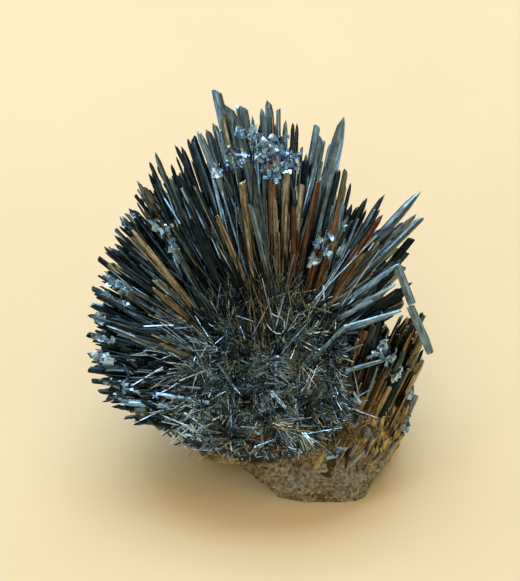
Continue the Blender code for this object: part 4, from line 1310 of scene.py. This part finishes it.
@dataclass(frozen=True)
class RimNeedles:
    """Layers of needles that lie on the front rim of the root, and run out over the rock below it."""

    # They lie between two bearings, to the left of a limit and in front of another.
    bearings: Pair = (88.0, 262.0)
    right_limit: float = 17.0
    depth_limit: float = -12.0
    # From this bearing and over so many degrees, they turn to run in to one place, and are sparser, and
    # darker as painted shade, by these shares.
    flank_bearing: float = 216.0
    flank_spread: float = 24.0
    gathering: Triple = (0.0, -14.0, -3.0)
    flank_sparser: float = 0.55
    flank_darker: float = 0.85
    patches: tuple[tuple[float, float, float, Tone], ...] = (
        # Where most of them are bright, or rusty: across, up, radius, tone.
        (-17.0, -23.2, 3.2, Tone.BLUE), (-9.0, -16.0, 3.0, Tone.STEEL), (8.0, -23.2, 3.4, Tone.STEEL),
        (4.8, -18.8, 2.6, Tone.BLUE), (-10.5, -23.6, 2.4, Tone.RED), (-6.5, -22.8, 2.2, Tone.RED),
        (1.4, -21.0, 1.8, Tone.RED), (-20.5, -9.0, 3.2, Tone.BLUE),
    )
    patch_share: float = 0.75
    # The brown rim's own height in millimetres, and its share of rusty needles.
    brown_height: float = 3.2
    brown_share: float = 0.72
    seed: int = 17

    def crystals(self, count: int, surface: Surface) -> Crystals:
        """A count of needles on one surface, nearly all of them along the rim."""
        chance = np.random.default_rng(self.seed + count)
        places = FACE.places(surface.points)
        bearing = bearing_of(places) % 360
        lowest = np.interp(places[:, 0], *BROWN_RIM)
        chosen = (places[:, 1] > lowest) & (places[:, 0] < self.right_limit)
        chosen &= (bearing > self.bearings[0]) & (bearing < self.bearings[1])
        chosen &= (places[:, 2] > self.depth_limit) & (surface.normals @ FACE.out > 0.0)
        found = chance.choice(np.flatnonzero(chosen), count)
        base, rise, places = surface.points[found], surface.normals[found], places[found]
        radial = FACE.world(places * (1, 1, 0)) - FACE.world(np.zeros(3))
        tangent = unit(np.cross(rise, unit(radial)))
        inward = FACE.world(np.array(self.gathering)) - base
        inward -= dot(inward, rise) * rise
        tangent *= np.sign(dot(tangent, inward))
        left = np.clip((bearing[found] - self.flank_bearing) / self.flank_spread, 0.0, 1.0)
        tangent = unit(tangent * (1 - left[:, None]) + unit(inward) * left[:, None])
        slope = np.cross(tangent, rise)
        aim = chance.normal(0, 0.4, count) + chance.choice((0, math.pi), count)
        heading = tangent * np.cos(aim)[:, None] + slope * np.sin(aim)[:, None]
        heading = unit(heading + chance.normal(0, 0.10, (count, 3)))
        half = heading * (chance.gamma(3.0, 0.75, count) + 0.5)[:, None]
        base = base + rise * chance.uniform(0.05, 0.8, count)[:, None]
        width = chance.gamma(2.5, 0.12, count) + 0.13
        tones = STREWN_MIX.draw(count, chance)
        for *patch, tone in self.patches:
            near = within(places, *patch) & (chance.uniform(size=count) < self.patch_share)
            tones = np.where(near, tone.value, tones)
        low = places[:, 1] < lowest[found] + self.brown_height
        low &= chance.uniform(size=count) < self.brown_share
        tones = np.where(low, RIM_MIX.draw(count, chance), tones)
        ends = chance.choice((0, 1, 2), count)
        # Painted shade on the left flank: many needles take the dark outer tones.
        dark = chance.uniform(size=count) < self.flank_darker * left
        tones = np.where(dark, OUTER_MIX.draw(count, chance), tones)
        inside = chance.uniform(size=count) > self.flank_sparser * left
        for end in (FACE.places(base + half), FACE.places(base - half)):
            inside &= end[:, 1] > np.interp(end[:, 0], *BROWN_RIM) - 0.6
            inside &= np.hypot(end[:, 0], end[:, 1]) < rim_reach(bearing_of(end)) - 0.4
        return Crystals.made(base + half, base - half, width, ends, tones, chance).kept(inside)


@dataclass(frozen=True)
class Felt:
    """The felt of fine needles that fills the heart, and the coarser ones strewn over its front."""

    tufts: int = 720
    in_tuft: int = 18
    strewn: int = 700
    # The oval that the tufts cover: how far it reaches, and its middle, across and up.
    reach: Pair = (18.5, 18.5)
    middle: Pair = (0.0, -5.0)
    floor: float = -3.0
    # The golden patch: across, up, radius, and the share of its tufts that are golden.
    golden: Triple = (4.0, 1.5, 6.5)
    golden_share: float = 0.45
    # The share of needles whose tarnish isn't that of their tuft.
    odd_share: float = 0.3
    # The largest share of dark tufts below the crown, and where to the left no tuft is brown.
    shade_share: float = 0.75
    bluest: float = -7.0
    # The right edge beside the side bundle, which the needles below its foot may cross.
    right_edge: float = 17.8
    edge_foot: float = -13.0
    # The strewn needles: their bearings, how far out they reach, where the left flank begins and over
    # how many degrees, and its share of dark ones, which are painted shade.
    strewn_bearings: Pair = (72.0, 288.0)
    strewn_reach: float = 31.0
    flank_bearing: float = 205.0
    flank_spread: float = 30.0
    flank_darker: float = 0.75
    seed: int = 21

    def fine_needles(self) -> Crystals:
        """Tufts of needles whose roots are even over an oval; each tuft bursts from one point.

        Tufts lie lower towards the top of the oval, so that the long blades rise through them.

        Returns:
            The needles.
        """
        chance = np.random.default_rng(self.seed)
        tufts, number = self.tufts, np.arange(self.tufts)
        outward = np.sqrt((number + 0.5) / tufts)
        around = number * GOLDEN_TURN
        across = self.middle[0] + self.reach[0] * outward * np.sin(around)
        up = self.middle[1] + self.reach[1] * outward * np.cos(around)
        flat_places = np.stack((across, up, 0 * up), axis=1)
        lumps = 1.2 * waves(flat_places, length=7.0, seed=5, octaves=2)
        # The tufts stand lower towards the top of the oval.
        rise = (chance.uniform(-0.4, 1.6, tufts) + lumps) * np.clip((15.0 - up) / 10.0, 0.25, 1.0)
        centre = np.stack((across, up, self.floor + rise), axis=1)
        aim = chance.uniform(0, 2 * math.pi, tufts)
        heading = unit(np.stack((np.sin(aim), np.cos(aim), chance.uniform(-0.1, 0.45, tufts)), axis=1))
        # The tufts lean outwards all round, and to the sides at the foot.
        radial = np.stack((np.sin(around), np.cos(around), 0 * up), axis=1)
        level = np.clip((-up - 6.0) / 6.0, 0.0, 1.0)[:, None]
        aside = np.sign(across)[:, None] * (1.0, -0.25, 0.0)
        heading = unit(heading + 0.9 * (radial * (1 - level) + aside * level))
        tone = FELT_MIX.draw(tufts, chance)
        near = within(centre, *self.golden)
        golden = near & (chance.uniform(size=tufts) < self.golden_share)
        tone = np.where(golden, Tone.TAN.value - 0.08, tone)
        shaded = chance.uniform(size=tufts) < np.clip((up + 4.0) / 12.0, 0.0, self.shade_share)
        tone = np.where(shaded & ~near, SHADED_MIX.pick(tufts, chance), tone)
        cool = (across < self.bluest) & (tone > Tone.BLUE.value + 0.05)
        tone = np.where(cool, Tone.STEEL.value + 0.05, tone)
        count = tufts * self.in_tuft
        tuft = np.repeat(number, self.in_tuft)
        way = unit(heading[tuft] + chance.normal(0, 0.38, (count, 3)) * (1, 1, 0.6))
        root = centre[tuft] + chance.normal(0, 0.4, (count, 3)) * (1, 1, 0.4)
        tip = root + way * (chance.gamma(3.0, 1.25, count) + 1.0)[:, None]
        others = chance.uniform(size=count) < self.odd_share
        tones = np.where(others, FELT_MIX.draw(count, chance), tone[tuft])
        width = chance.gamma(2.2, 0.065, count) + 0.065
        points = np.zeros(count, int)
        made = Crystals.made(FACE.world(tip), FACE.world(root), width, points, tones, chance, flat=0.9)
        return made.kept(self.beside_bundle(tip, root, chance))

    def beside_bundle(self, tip: np.ndarray, root: np.ndarray, chance: Chance) -> np.ndarray:
        """Which needles stop at the felt's right edge, so that the bundle's blades show past it."""
        edge = self.right_edge + chance.gamma(1.5, 0.8, len(tip))
        low = np.minimum(tip[:, 1], root[:, 1]) < self.edge_foot
        return low | (np.maximum(tip[:, 0], root[:, 0]) < edge)

    def strewn_needles(self) -> Crystals:
        """Needles on the front of the felt, most of them pointing out to the rim, all inside it."""
        chance, count = np.random.default_rng(self.seed + 1), self.strewn
        bearing = chance.uniform(*self.strewn_bearings, count)
        turn = np.radians(bearing)
        share = 1.0 - 0.65 * chance.uniform(0, 1, count) ** 1.3
        rim = np.minimum(rim_reach(bearing), self.strewn_reach)
        left = np.clip((bearing - self.flank_bearing) / self.flank_spread, 0.0, 1.0)
        middle = np.stack((np.sin(turn), np.cos(turn)), axis=1) * (rim * share)[:, None]
        aim = turn + np.radians(chance.normal(0, 1, count) * (32 - 18 * left))
        heading = heading_of(aim, np.radians(chance.uniform(76, 102, count)))
        length = chance.uniform(2.5, 10.0, count) * (1 + 0.3 * left)
        level = self.floor + chance.uniform(0.0, 2.2, count) - 1.6 * share ** 3
        centre = np.concatenate((middle, level[:, None]), axis=1)
        tip, root = centre + heading * length[:, None] / 2, centre - heading * length[:, None] / 2
        over = np.hypot(tip[:, 0], tip[:, 1]) / rim_reach(bearing_of(tip))
        tip[:, :2] /= np.maximum(over, 1.0)[:, None]
        width = chance.uniform(0.2, 0.6, count) * (1.4 - 0.4 * left)
        # Painted shade on the left flank: many needles take the dark outer tones.
        dark = chance.uniform(size=count) < self.flank_darker * left
        tones = np.where(dark, OUTER_MIX.draw(count, chance), STREWN_MIX.draw(count, chance))
        ends = chance.choice((0, 1, 2), count)
        made = Crystals.made(FACE.world(tip), FACE.world(root), width, ends, tones, chance)
        return made.kept(self.beside_bundle(tip, root, chance))


@dataclass(frozen=True)
class Druse:
    """Tiny plates that glitter in patches on the blades, like crumpled foil; their pale, bright colours
    are painted reflection.
    """

    patches: tuple[tuple[float, float, float, int], ...] = (
        # across, up, radius, count
        (-5.0, 55.0, 2.6, 120), (2.5, 51.0, 3.0, 160), (0.8, 45.8, 3.2, 160), (-1.8, 49.6, 3.0, 150),
        (4.6, 47.4, 2.4, 90), (-13.2, 45.0, 1.6, 50), (-9.2, 47.8, 3.2, 130), (-33.2, 32.8, 2.6, 44),
        (-36.2, 31.8, 1.2, 14), (-27.5, 30.0, 2.8, 44), (-37.0, 29.0, 1.2, 12), (-25.0, 25.2, 1.7, 36),
        (-38.8, 26.0, 1.8, 40), (-40.0, 13.8, 5.0, 120), (-43.0, 0.5, 4.6, 150), (-44.0, 8.0, 2.4, 40),
        (13.8, 25.8, 2.6, 80), (18.5, 31.0, 1.2, 18), (11.2, 22.0, 1.0, 14), (28.8, -0.2, 2.6, 110),
        (34.2, -19.0, 1.8, 40), (36.6, -12.2, 2.2, 60), (31.6, -6.0, 2.0, 24), (15.8, -25.0, 1.6, 26),
        (-38.0, -9.0, 5.0, 50), (-30.0, -12.0, 5.0, 24),
    )
    least_bearer: float = 0.8
    # The places on a bearer, as shares of its length, and how many of them.
    bearing: Pair = (0.3, 0.92)
    steps: int = 30
    thickness: float = 0.07
    seed: int = 31

    def crystals(self, bearers: Crystals) -> Crystals:
        """Plates on whatever bearing crystals pass through each patch, mostly on the foremost.

        Args:
            bearers: the crystals that carry them.

        Returns:
            The druse.
        """
        chance = np.random.default_rng(self.seed)
        bearers = bearers.kept(bearers.widths > self.least_bearer)
        steps = np.linspace(*self.bearing, self.steps)[None, :, None]
        points = bearers.roots[:, None] + (bearers.tips - bearers.roots)[:, None] * steps
        places = FACE.places(points.reshape(-1, 3))
        girth = np.repeat(bearers.widths, self.steps)
        picked = []
        for *patch, count in self.patches:
            found = np.flatnonzero(within(places, *patch))
            if len(found):
                # The further out and the broader a bearer, the likelier it carries a plate.
                weight = np.exp(np.minimum(places[found, 2], 2.0) / 1.8) * girth[found]
                picked.append(chance.choice(found, count, p=weight / weight.sum()))
        index = np.concatenate(picked)
        count = len(index)
        middle = places[index] + chance.normal(0, 0.42, (count, 3))
        middle[:, 2] += 0.3 * girth[index]
        width = np.minimum(chance.gamma(3.5, 0.17, count) + 0.25, 1.7)
        ways = np.repeat(unit(bearers.tips - bearers.roots), self.steps, axis=0)[index]
        way = unit(FACE.places(FACE.heart + ways) + chance.normal(0, 0.75, (count, 3)) * (1.0, 1.0, 0.5))
        half = way * (width * chance.uniform(0.45, 1.1, count))[:, None]
        tips, roots = FACE.world(middle + half), FACE.world(middle - half)
        tones = chance.uniform(0.03, 0.40, count)
        ends = chance.choice((0, 1, 2), count)
        return Crystals.made(
            tips, roots, width, ends, tones, chance, flat=self.thickness, turn=1.1)


@dataclass(frozen=True)
class SideBundle:
    """The parallel blades on the right and the brown splinters below them, all with one lean."""

    lean: Triple = (0.40, 0.38, 0.83)
    inner_lean: Triple = (0.32, 0.50, 0.80)
    # Thin blades between the listed ones, and the gap that they leave: from, to, above.
    thin: int = 340
    gap: Triple = (30.1, 31.8, 2.5)
    thin_splinters: int = 7
    # Splinters on the crust, how closely they cling to it, and how sparse a net their roots find.
    crust: int = 900
    clinging: float = 0.9
    sparser: int = 8
    rust: tuple[tuple[float, float, float, int], ...] = (
        # across, up, radius, count
        (23.5, -13.0, 3.2, 700), (20.5, -21.0, 2.8, 500), (31.0, -17.0, 2.4, 260),
    )
    solid: str = "matrix_rock"
    slot: str = "matrix"
    seed: int = 41

    def leaning(
        self, rows: np.ndarray, chance: Chance, lean: Triple | None = None,
    ) -> Crystals:
        """Crystals that run back from their tips along a lean.

        Args:
            rows: rows of (across, up, out, length, width).
            chance: source of the random draws.
            lean: their direction on the face, or None for the bundle's own.

        Returns:
            The crystals.
        """
        ends = chance.integers(0, 3, len(rows))
        tips = FACE.world(rows[:, :3])
        way = unit(np.array(lean or self.lean) + chance.normal(0, 0.03, (len(rows), 3)))
        roots = tips - way * rows[:, 3:4]
        tones = SIDE_MIX.draw(len(rows), chance)
        return Crystals.made(tips, roots, rows[:, 4], ends, tones, chance, turn=1.5)

    def inner_blades(self) -> Crystals:
        """Darker blades between the felt and the bundle, more upright, with thin ones beside them."""
        chance = np.random.default_rng(self.seed + 4)
        made = self.leaning(np.array(INNER_SIDE_BLADES), chance, self.inner_lean)
        made = made.with_companions(3, chance)
        made.tones = INNER_SIDE_MIX.draw(len(made.tips), chance)
        return Crystals.joined([made, Crystals.listed(CROSSING_BLADES, chance)])

    def blades(self) -> Crystals:
        """The listed side blades with their companions, thin ones between them, and the inner ones."""
        chance = np.random.default_rng(self.seed)
        main = self.leaning(np.array(SIDE_BLADES), chance).with_companions(3, chance)
        # The bundle's upper edge rises and runs back to the right.
        across = chance.uniform(18.0, 38.8, self.thin)
        slope = (across - 17.0) / 22.0
        up = 1.5 + 7.9 * slope - 13.0 * chance.uniform(0, 1, self.thin) ** 1.4
        out = -4.0 - 5.0 * slope - chance.uniform(0, 4, self.thin)
        length = chance.uniform(8, 15, self.thin) + 7 * slope
        width = chance.uniform(0.5, 2.0, self.thin)
        left, right, foot = self.gap
        gap = (across > left) & (across < right) & (up > foot)
        thin = self.leaning(np.stack((across, up, out, length, width), axis=1)[~gap], chance)
        return Crystals.joined([main, thin, self.inner_blades()])

    def splinters(self) -> Crystals:
        """The listed splinters, and thinner ones round each."""
        chance = np.random.default_rng(self.seed + 1)
        rows = np.array(SPLINTERS)
        more = np.repeat(rows, self.thin_splinters, axis=0)
        more[:, :2] += chance.uniform(-1.3, 0.9, (len(more), 2))
        more[:, 2] -= chance.uniform(-0.3, 1.2, len(more))
        more[:, 3] *= chance.uniform(0.8, 1.1, len(more))
        more[:, 4] *= chance.uniform(0.15, 0.5, len(more))
        made = self.leaning(np.concatenate((rows, more)), chance)
        made.tones = CRUST_MIX.draw(len(made.tips), chance)
        return made

    def crust_splinters(self, rock: Surface) -> Crystals:
        """Splinters that cling to the rock's right shoulder, and run along the crust's fibres."""
        chance, count = np.random.default_rng(self.seed + 2), self.crust
        places = FACE.places(rock.points)
        right_edge = 37.0 + 0.42 * np.minimum(places[:, 1] + 14.0, 0.0)
        chosen = (places[:, 0] > 16.5 + 0.25 * (places[:, 1] + 12.0)) & (places[:, 0] < right_edge)
        chosen &= (places[:, 1] > -26.0) & (rock.normals @ FACE.out > 0.0)
        found = chance.choice(np.flatnonzero(chosen), count)
        rise, lean = rock.normals[found], np.array(CRUST_WAY)
        tips = rock.points[found] + rise * chance.uniform(-0.1, 0.7, count)[:, None]
        clung = lean - self.clinging * (rise @ lean)[:, None] * rise
        way = unit(clung + chance.normal(0, 0.035, (count, 3)))
        roots = tips - way * chance.uniform(2.0, 7.0, count)[:, None]
        # A root is sunk a little below the point of a sparser net that lies nearest to it.
        net, net_normals = rock.points[::self.sparser], rock.normals[::self.sparser]
        nearest = ((roots[:, None] - net[None]) ** 2).sum(axis=2).argmin(axis=1)
        roots = net[nearest] - net_normals[nearest] * 0.5
        width = chance.gamma(2.0, 0.34, count) + 0.2
        tones = CRUST_MIX.draw(count, chance)
        ends = chance.choice((0, 1, 2), count)
        return Crystals.made(tips, roots, width, ends, tones, chance, turn=1.5)

    def rust_fibres(self, rock: Surface) -> Crystals:
        """Rusty fuzz in patches of the crust: short fibres that stand up every way."""
        chance = np.random.default_rng(self.seed + 3)
        places = FACE.places(rock.points)
        facing = rock.normals @ FACE.out > 0.0
        found = np.concatenate([
            chance.choice(np.flatnonzero(facing & within(places, *patch)), count)
            for *patch, count in self.rust
        ])
        count = len(found)
        roots = rock.points[found] + chance.normal(0, 0.3, (count, 3))
        way = unit(rock.normals[found] + chance.normal(0, 1.4, (count, 3)))
        tips = roots + way * chance.uniform(0.5, 1.6, count)[:, None]
        width = chance.uniform(0.10, 0.26, count)
        points, tones = np.zeros(count, int), RUST_MIX.draw(count, chance)
        return Crystals.made(tips, roots, width, points, tones, chance, flat=0.9)

    def dress(self, rock: Surface) -> Crystals:
        """Dresses the rock with splinters, crust and fuzz, as pieces that stand for it.

        Args:
            rock: the rock's surface.

        Returns:
            The splinters of the crust, as they are before they are drawn into the solids' box.
        """
        crust = self.crust_splinters(rock)
        groups = (
            ("brown_splinters", self.splinters(), SPLINTER_LOFT, 62),
            ("crust_splinters", Crystals.joined([crust]), CRUST_LOFT, 63),
            ("rust_fuzz", self.rust_fibres(rock), FIBRE_LOFT, 64),
        )
        for name, crystals, loft, seed in groups:
            made = loft.mesh(name, crystals, seed)
            place_piece(name, made, STAINED_SPLINTERS, (self.solid,))
        return crust


@dataclass(frozen=True)
class Rock:
    """The brown matrix rock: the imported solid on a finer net, with grain, pits and ledges."""

    node: str = "matrix_rock"
    slot: str = "matrix"
    net_mm: float = 0.42
    lump_mm: float = 0.5
    grain_mm: float = 0.16
    level_band_mm: float = 1.2
    ledge_steps: float = 2.5
    # The front chunk's left corner juts out: its place on the face, the reach of the jut and its size.
    corner: Pair = (0.0, -30.6)
    corner_reach: Pair = (5.0, 2.4)
    corner_jut: float = 2.8
    # The crust begins to the right of the first and above the second, on the face.
    crust_from: Pair = (16.0, -26.0)

    def crust_share(self, points: np.ndarray) -> np.ndarray:
        """How far each point belongs to the fibrous crust on the right: 0 to 1, over a ragged border.

        Args:
            points: rows of (x, y, z) in millimetres.

        Returns:
            A share for each.
        """
        places = FACE.places(points)
        right = places[:, 0] - self.crust_from[0] - 0.25 * (places[:, 1] + 12.0)
        above = places[:, 1] - self.crust_from[1]
        ragged = 1.5 * waves(points, length=5.0, seed=55)
        return np.clip(np.minimum(right, above) / 2.0 + ragged, 0.0, 1.0)

    def net(self) -> bpy.types.Mesh:
        """The solid as an even net of voxels."""
        source = add_object("rock_source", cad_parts[self.node].data.copy())
        whole = bmesh.new()
        whole.from_mesh(source.data)
        bmesh.ops.remove_doubles(whole, verts=whole.verts, dist=1e-6)
        whole.to_mesh(source.data)
        whole.free()
        net = source.modifiers.new("net", "REMESH")
        net.mode = "VOXEL"
        net.voxel_size = self.net_mm * MM
        graph = bpy.context.evaluated_depsgraph_get()
        made = bpy.data.meshes.new_from_object(source.evaluated_get(graph))
        bpy.data.objects.remove(source)
        return made

    def mesh(self) -> bpy.types.Mesh:
        """The net with each point moved along its normal by waves, and its foot left flat."""
        made = self.net()
        points, normals = surface_of(made)
        lumps = waves(points, length=6.0, seed=51, octaves=4)
        # Ledges are low waves, flatter than they are broad, cut to steps.
        steps = waves(points * (1.0, 1.0, 1.6), length=9.0, seed=52, octaves=2) * self.ledge_steps
        ledges = np.round(steps) / self.ledge_steps
        grain = waves(points, length=1.6, seed=53, octaves=4, fade=0.7)
        share = self.crust_share(points)
        across_fibres = points - (points @ np.array(CRUST_WAY))[:, None] * np.array(CRUST_WAY) * 0.93
        ridges = 0.45 * waves(across_fibres, length=3.0, seed=54, fade=0.6)
        shift = self.lump_mm * (0.6 * lumps + 0.5 * ledges) + self.grain_mm * grain - 0.35
        shift = shift * (1 - share) + (0.4 * self.lump_mm * lumps + ridges - 0.2) * share
        shift = shift * np.clip(points[:, 2] / self.level_band_mm, 0, 1)
        points = points + normals * shift[:, None]
        off = (FACE.places(points)[:, :2] - self.corner) / self.corner_reach
        points[:, 0] -= self.corner_jut * np.exp(-(off ** 2).sum(axis=1))
        points = inside_box(points)
        made.vertices.foreach_set("co", (points * MM).astype(np.float32).ravel())
        made.update()
        add_attribute(made, "crust", share)
        return made

    def build(self) -> Surface:
        """Makes the rock, and gives its surface."""
        made = place_piece("matrix_body", self.mesh(), STAINED_ROCK, (self.node,))
        made.data.shade_smooth()
        return surface_of(made.data)


@dataclass(frozen=True)
class LoosePieces:
    """The snapped blades that lie on the spray, the needle that grew bent, and a curl of lint."""

    swell: float = 1.25
    turn: float = 0.15
    bent_width: float = 1.0
    slot: str = "stibnite"
    # The lint's path on the face, its width in millimetres, and how it is read and rounded.
    lint: tuple[Triple, ...] = (
        (-1.2, 7.4, 0.8), (-0.6, 6.2, 1.3), (0.4, 5.1, 1.6), (1.6, 4.3, 1.8), (2.8, 4.3, 1.8),
        (3.5, 5.4, 1.7), (3.5, 7.2, 1.5), (2.6, 8.4, 1.3), (1.3, 8.6, 1.3), (0.2, 9.4, 0.8),
    )
    lint_width: float = 0.22
    lint_sides: int = 6
    lint_steps: int = 8
    lint_rounding: int = 7
    seed: int = 9

    def bent(self, chance: Chance) -> Crystals:
        """The bent needle as two runs that share their corner."""
        start, bend, end = (np.array(place) for place in BENT_NEEDLE)
        tips = FACE.world(np.stack((bend, end)))
        roots = FACE.world(np.stack((start, bend)))
        tones, ends = np.full(2, Tone.BLUE.value), np.array((End.BROKEN.value, End.POINT.value))
        return Crystals.made(tips, roots, np.full(2, self.bent_width), ends, tones, chance, turn=0.1)

    def lint_mesh(self) -> bpy.types.Mesh:
        """A round outline carried along a path: straight from place to place in even steps, then
        smoothed by the mean of neighbours, with both ends closed."""
        places = FACE.world(np.array(self.lint))
        knots = np.linspace(0, 1, len(places))
        fine = np.linspace(0, 1, self.lint_steps * len(places))
        path = np.stack([np.interp(fine, knots, places[:, axis]) for axis in range(3)], axis=1)
        mean, beyond = np.ones(self.lint_rounding) / self.lint_rounding, self.lint_rounding // 2
        padded = np.pad(path, ((beyond, beyond), (0, 0)), "edge")
        path = np.stack([np.convolve(padded[:, axis], mean, "valid") for axis in range(3)], axis=1)
        tangent = unit(np.gradient(path, axis=0))
        side = unit(np.cross(tangent, FACE.out))
        rise = np.cross(side, tangent)
        angle = 2 * math.pi * np.arange(self.lint_sides) / self.lint_sides
        cosine, sine = np.cos(angle)[None, :, None], np.sin(angle)[None, :, None]
        ring = side[:, None] * cosine + rise[:, None] * sine
        points = (path[:, None] + ring * self.lint_width / 2).reshape(-1, 3)
        points = np.concatenate((points, path[[0, -1]]))
        return mesh_of("lint_curl", points, closed_rings(len(path), self.lint_sides))

    def show(self, name: str, crystals: Crystals, seed: int) -> None:
        """Lofts a loose crystal as a piece that stands for its own solid."""
        mesh = LOOSE_LOFT.mesh(name, crystals, seed)
        place_piece(name + "_grooved", mesh, CLEAN_STIBNITE, (name,))

    def build(self) -> None:
        """Makes the snapped blades, the bent needle and the lint."""
        chance = np.random.default_rng(self.seed)
        for seed, (name, blade) in enumerate(LOOSE_BLADES.items(), 90):
            self.show(name, Crystals.listed((blade,), chance, self.swell, self.turn), seed)
        self.show("loose_needle_bent", self.bent(chance), 95)
        place_piece("lint_curl", self.lint_mesh(), COTTON_LINT)


class Lamp(NamedTuple):
    """A soft lamp that looks at the specimen: place and size in metres, power in watts."""

    name: str
    place: Triple
    size: Pair
    power: float
    colour: str


@dataclass(frozen=True)
class Studio:
    """A pale paper floor, soft panels all round the specimen and the camera."""

    floor_radius: float = 0.9
    floor_sides: int = 96
    lamps: tuple[Lamp, ...] = (
        Lamp("window", (-0.11, 0.60, 1.00), (1.20, 0.75), 17.6, "#C9E0FF"),
        Lamp("ceiling", (-0.05, -0.10, 1.30), (1.50, 1.30), 5.6, "#FFF3E2"),
        Lamp("left_panel", (-0.95, -0.35, 0.50), (0.80, 0.70), 1.2, "#D6E9FA"),
        Lamp("right_panel", (0.95, -0.35, 0.45), (0.70, 0.60), 1.1, "#E6EEF4"),
        Lamp("front_panel", (-0.20, -0.85, 1.10), (0.60, 0.45), 3.0, "#D8ECFB"),
    )
    room: Triple = (0.29, 0.19, 0.06)
    # The camera: where its axis meets the face and how far off it is, in millimetres, and its lens.
    sight: Pair = (-2.5, 14.875)
    camera_distance: float = 491.0
    lens: float = 123.9
    clip: Pair = (0.05, 20.0)
    # The height that the lamps look at, in metres.
    aim_height: float = 0.03

    def floor(self) -> None:
        """The floor: a flat round sheet of paper, made by a ring of points about a middle one."""
        sides = self.floor_sides
        angle = 2 * math.pi * np.arange(sides) / sides
        edge = np.stack((np.cos(angle), np.sin(angle), 0 * angle), axis=1) * self.floor_radius / MM
        points = np.concatenate((edge, np.zeros((1, 3))))
        corner = np.arange(sides)
        faces = np.stack((corner, (corner + 1) % sides, np.full(sides, sides)), axis=1)
        sheet = add_object("paper_floor", mesh_of("paper_floor", points, [faces]))
        sheet.data.materials.append(UNCOATED_PAPER.material())

    def hang(self, lamp: Lamp) -> None:
        """Hangs one lamp, turned to the specimen."""
        data = bpy.data.lights.new(lamp.name, "AREA")
        data.shape = "RECTANGLE"
        data.size, data.size_y = lamp.size
        data.energy = lamp.power
        data.color = linear(lamp.colour)[:3]
        made = add_object(lamp.name, data)
        made.location = lamp.place
        back = unit(np.array(lamp.place) - (0.0, 0.0, self.aim_height))
        side = unit(np.cross((0.0, 0.0, 1.0), back))
        made.rotation_euler = Matrix(np.stack((side, np.cross(back, side), back), axis=1)).to_euler()

    def camera(self) -> None:
        """A camera square to the open face, at arm's length."""
        data = bpy.data.cameras.new("camera")
        data.lens = self.lens
        data.clip_start, data.clip_end = self.clip
        made = add_object("camera", data)
        made.location = FACE.world((*self.sight, self.camera_distance)) * MM
        made.rotation_euler = Matrix(np.stack((FACE.across, FACE.up, FACE.out), axis=1)).to_euler()
        bpy.context.scene.camera = made

    def build(self) -> None:
        """Makes the floor, the lights, the room and the camera."""
        scene = bpy.context.scene
        scene.view_settings.view_transform = "Standard"
        room = bpy.data.worlds.new("room")
        room.use_nodes = True
        room.node_tree.nodes["Background"].inputs["Color"].default_value = (*self.room, 1.0)
        scene.world = room
        self.floor()
        for lamp in self.lamps:
            self.hang(lamp)
        self.camera()
        log.info("studio ready")


@dataclass(frozen=True)
class Spray:
    """The whole spray: its root, listed blades, fans, side bundle, rim, felt and druse."""

    # The groups of listed blades, and how much wider than listed each is.
    listed: tuple[tuple[str, tuple[Blade, ...], float], ...] = (
        ("crown_blades", CROWN, 1.22), ("right_shoulder_blades", RIGHT_SHOULDER, 1.15),
        ("left_side_blades", LEFT_SIDE, 1.15), ("inner_ring_blades", INNER_RING, 1.15),
    )
    # How many needles lie on the root's rim, and how many on the rock.
    rim_counts: tuple[int, int] = (6200, 2600)
    solid: str = "crystal_spray"
    slot: str = "stibnite"
    seed: int = 3

    def show(
        self, name: str, crystals: Crystals, loft: Loft, seed: int, finish: BladeFinish = STIBNITE,
    ) -> Crystals:
        """Lofts a group of crystals as a piece that stands for the spray's solid.

        Args:
            name: name of the piece.
            crystals: the group.
            loft: how they are lofted.
            seed: picks the grooves and the unevenness.
            finish: their finish.

        Returns:
            The group, drawn into the solids' box.
        """
        place_piece(name, loft.mesh(name, crystals, seed), finish, (self.solid,))
        return crystals

    def build(self, rock: Surface, bundle: SideBundle, crust: Crystals) -> None:
        """Makes every crystal.

        Args:
            rock: the rock's surface, which the rim's needles run out over.
            bundle: the blades on the right.
            crust: the splinters on the rock, which carry some of the druse.
        """
        chance = np.random.default_rng(self.seed)
        root = SprayRoot().mesh()
        place_piece("spray_root", root, BROWN_ROOT, (self.solid,))
        groups = {name: Crystals.listed(blades, chance, swell) for name, blades, swell in self.listed}
        bearers = [
            self.show(name, group.with_companions(3, chance), BLADE_LOFT, seed)
            for seed, (name, group) in enumerate(groups.items())
        ]
        for fan in FANS:
            shown = self.show(fan.name, fan.crystals(), fan.loft, fan.seed, fan.finish)
            if fan.bears_druse:
                bearers.append(shown)
        side = self.show("side_bundle", bundle.blades(), SIDE_LOFT, 61, CLEAN_STIBNITE)
        surfaces = zip(self.rim_counts, (surface_of(root), rock))
        rim = Crystals.joined([RimNeedles().crystals(count, surface) for count, surface in surfaces])
        self.show("rim_needles", rim, FINE_LOFT, 63, CLEAN_NEEDLES)
        stubs = Crystals.joined([stubs.crystals(groups, chance) for stubs in STUBS])
        self.show("broken_stubs", stubs, STUB_LOFT, 64)
        felt = Felt()
        self.show("felt_needles", felt.fine_needles(), FIBRE_LOFT, 71, FELTED_STIBNITE)
        strewn = self.show("strewn_needles", felt.strewn_needles(), NEEDLE_LOFT, 72, CLEAN_NEEDLES)
        carriers = Crystals.joined([*bearers, side, strewn, crust])
        self.show("druse", Druse().crystals(carriers), DRUSE_LOFT, 81, DRUSE_STIBNITE)


def main() -> None:
    """Builds the rock, the spray and the loose pieces in order, then the studio round them."""
    logging.basicConfig(level=logging.INFO, format="%(name)s: %(message)s")
    rock = Rock().build()
    bundle = SideBundle()
    crust = bundle.dress(rock)
    Spray().build(rock, bundle, crust)
    LoosePieces().build()
    Studio().build()
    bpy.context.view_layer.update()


if __name__ == "__main__":
    main()
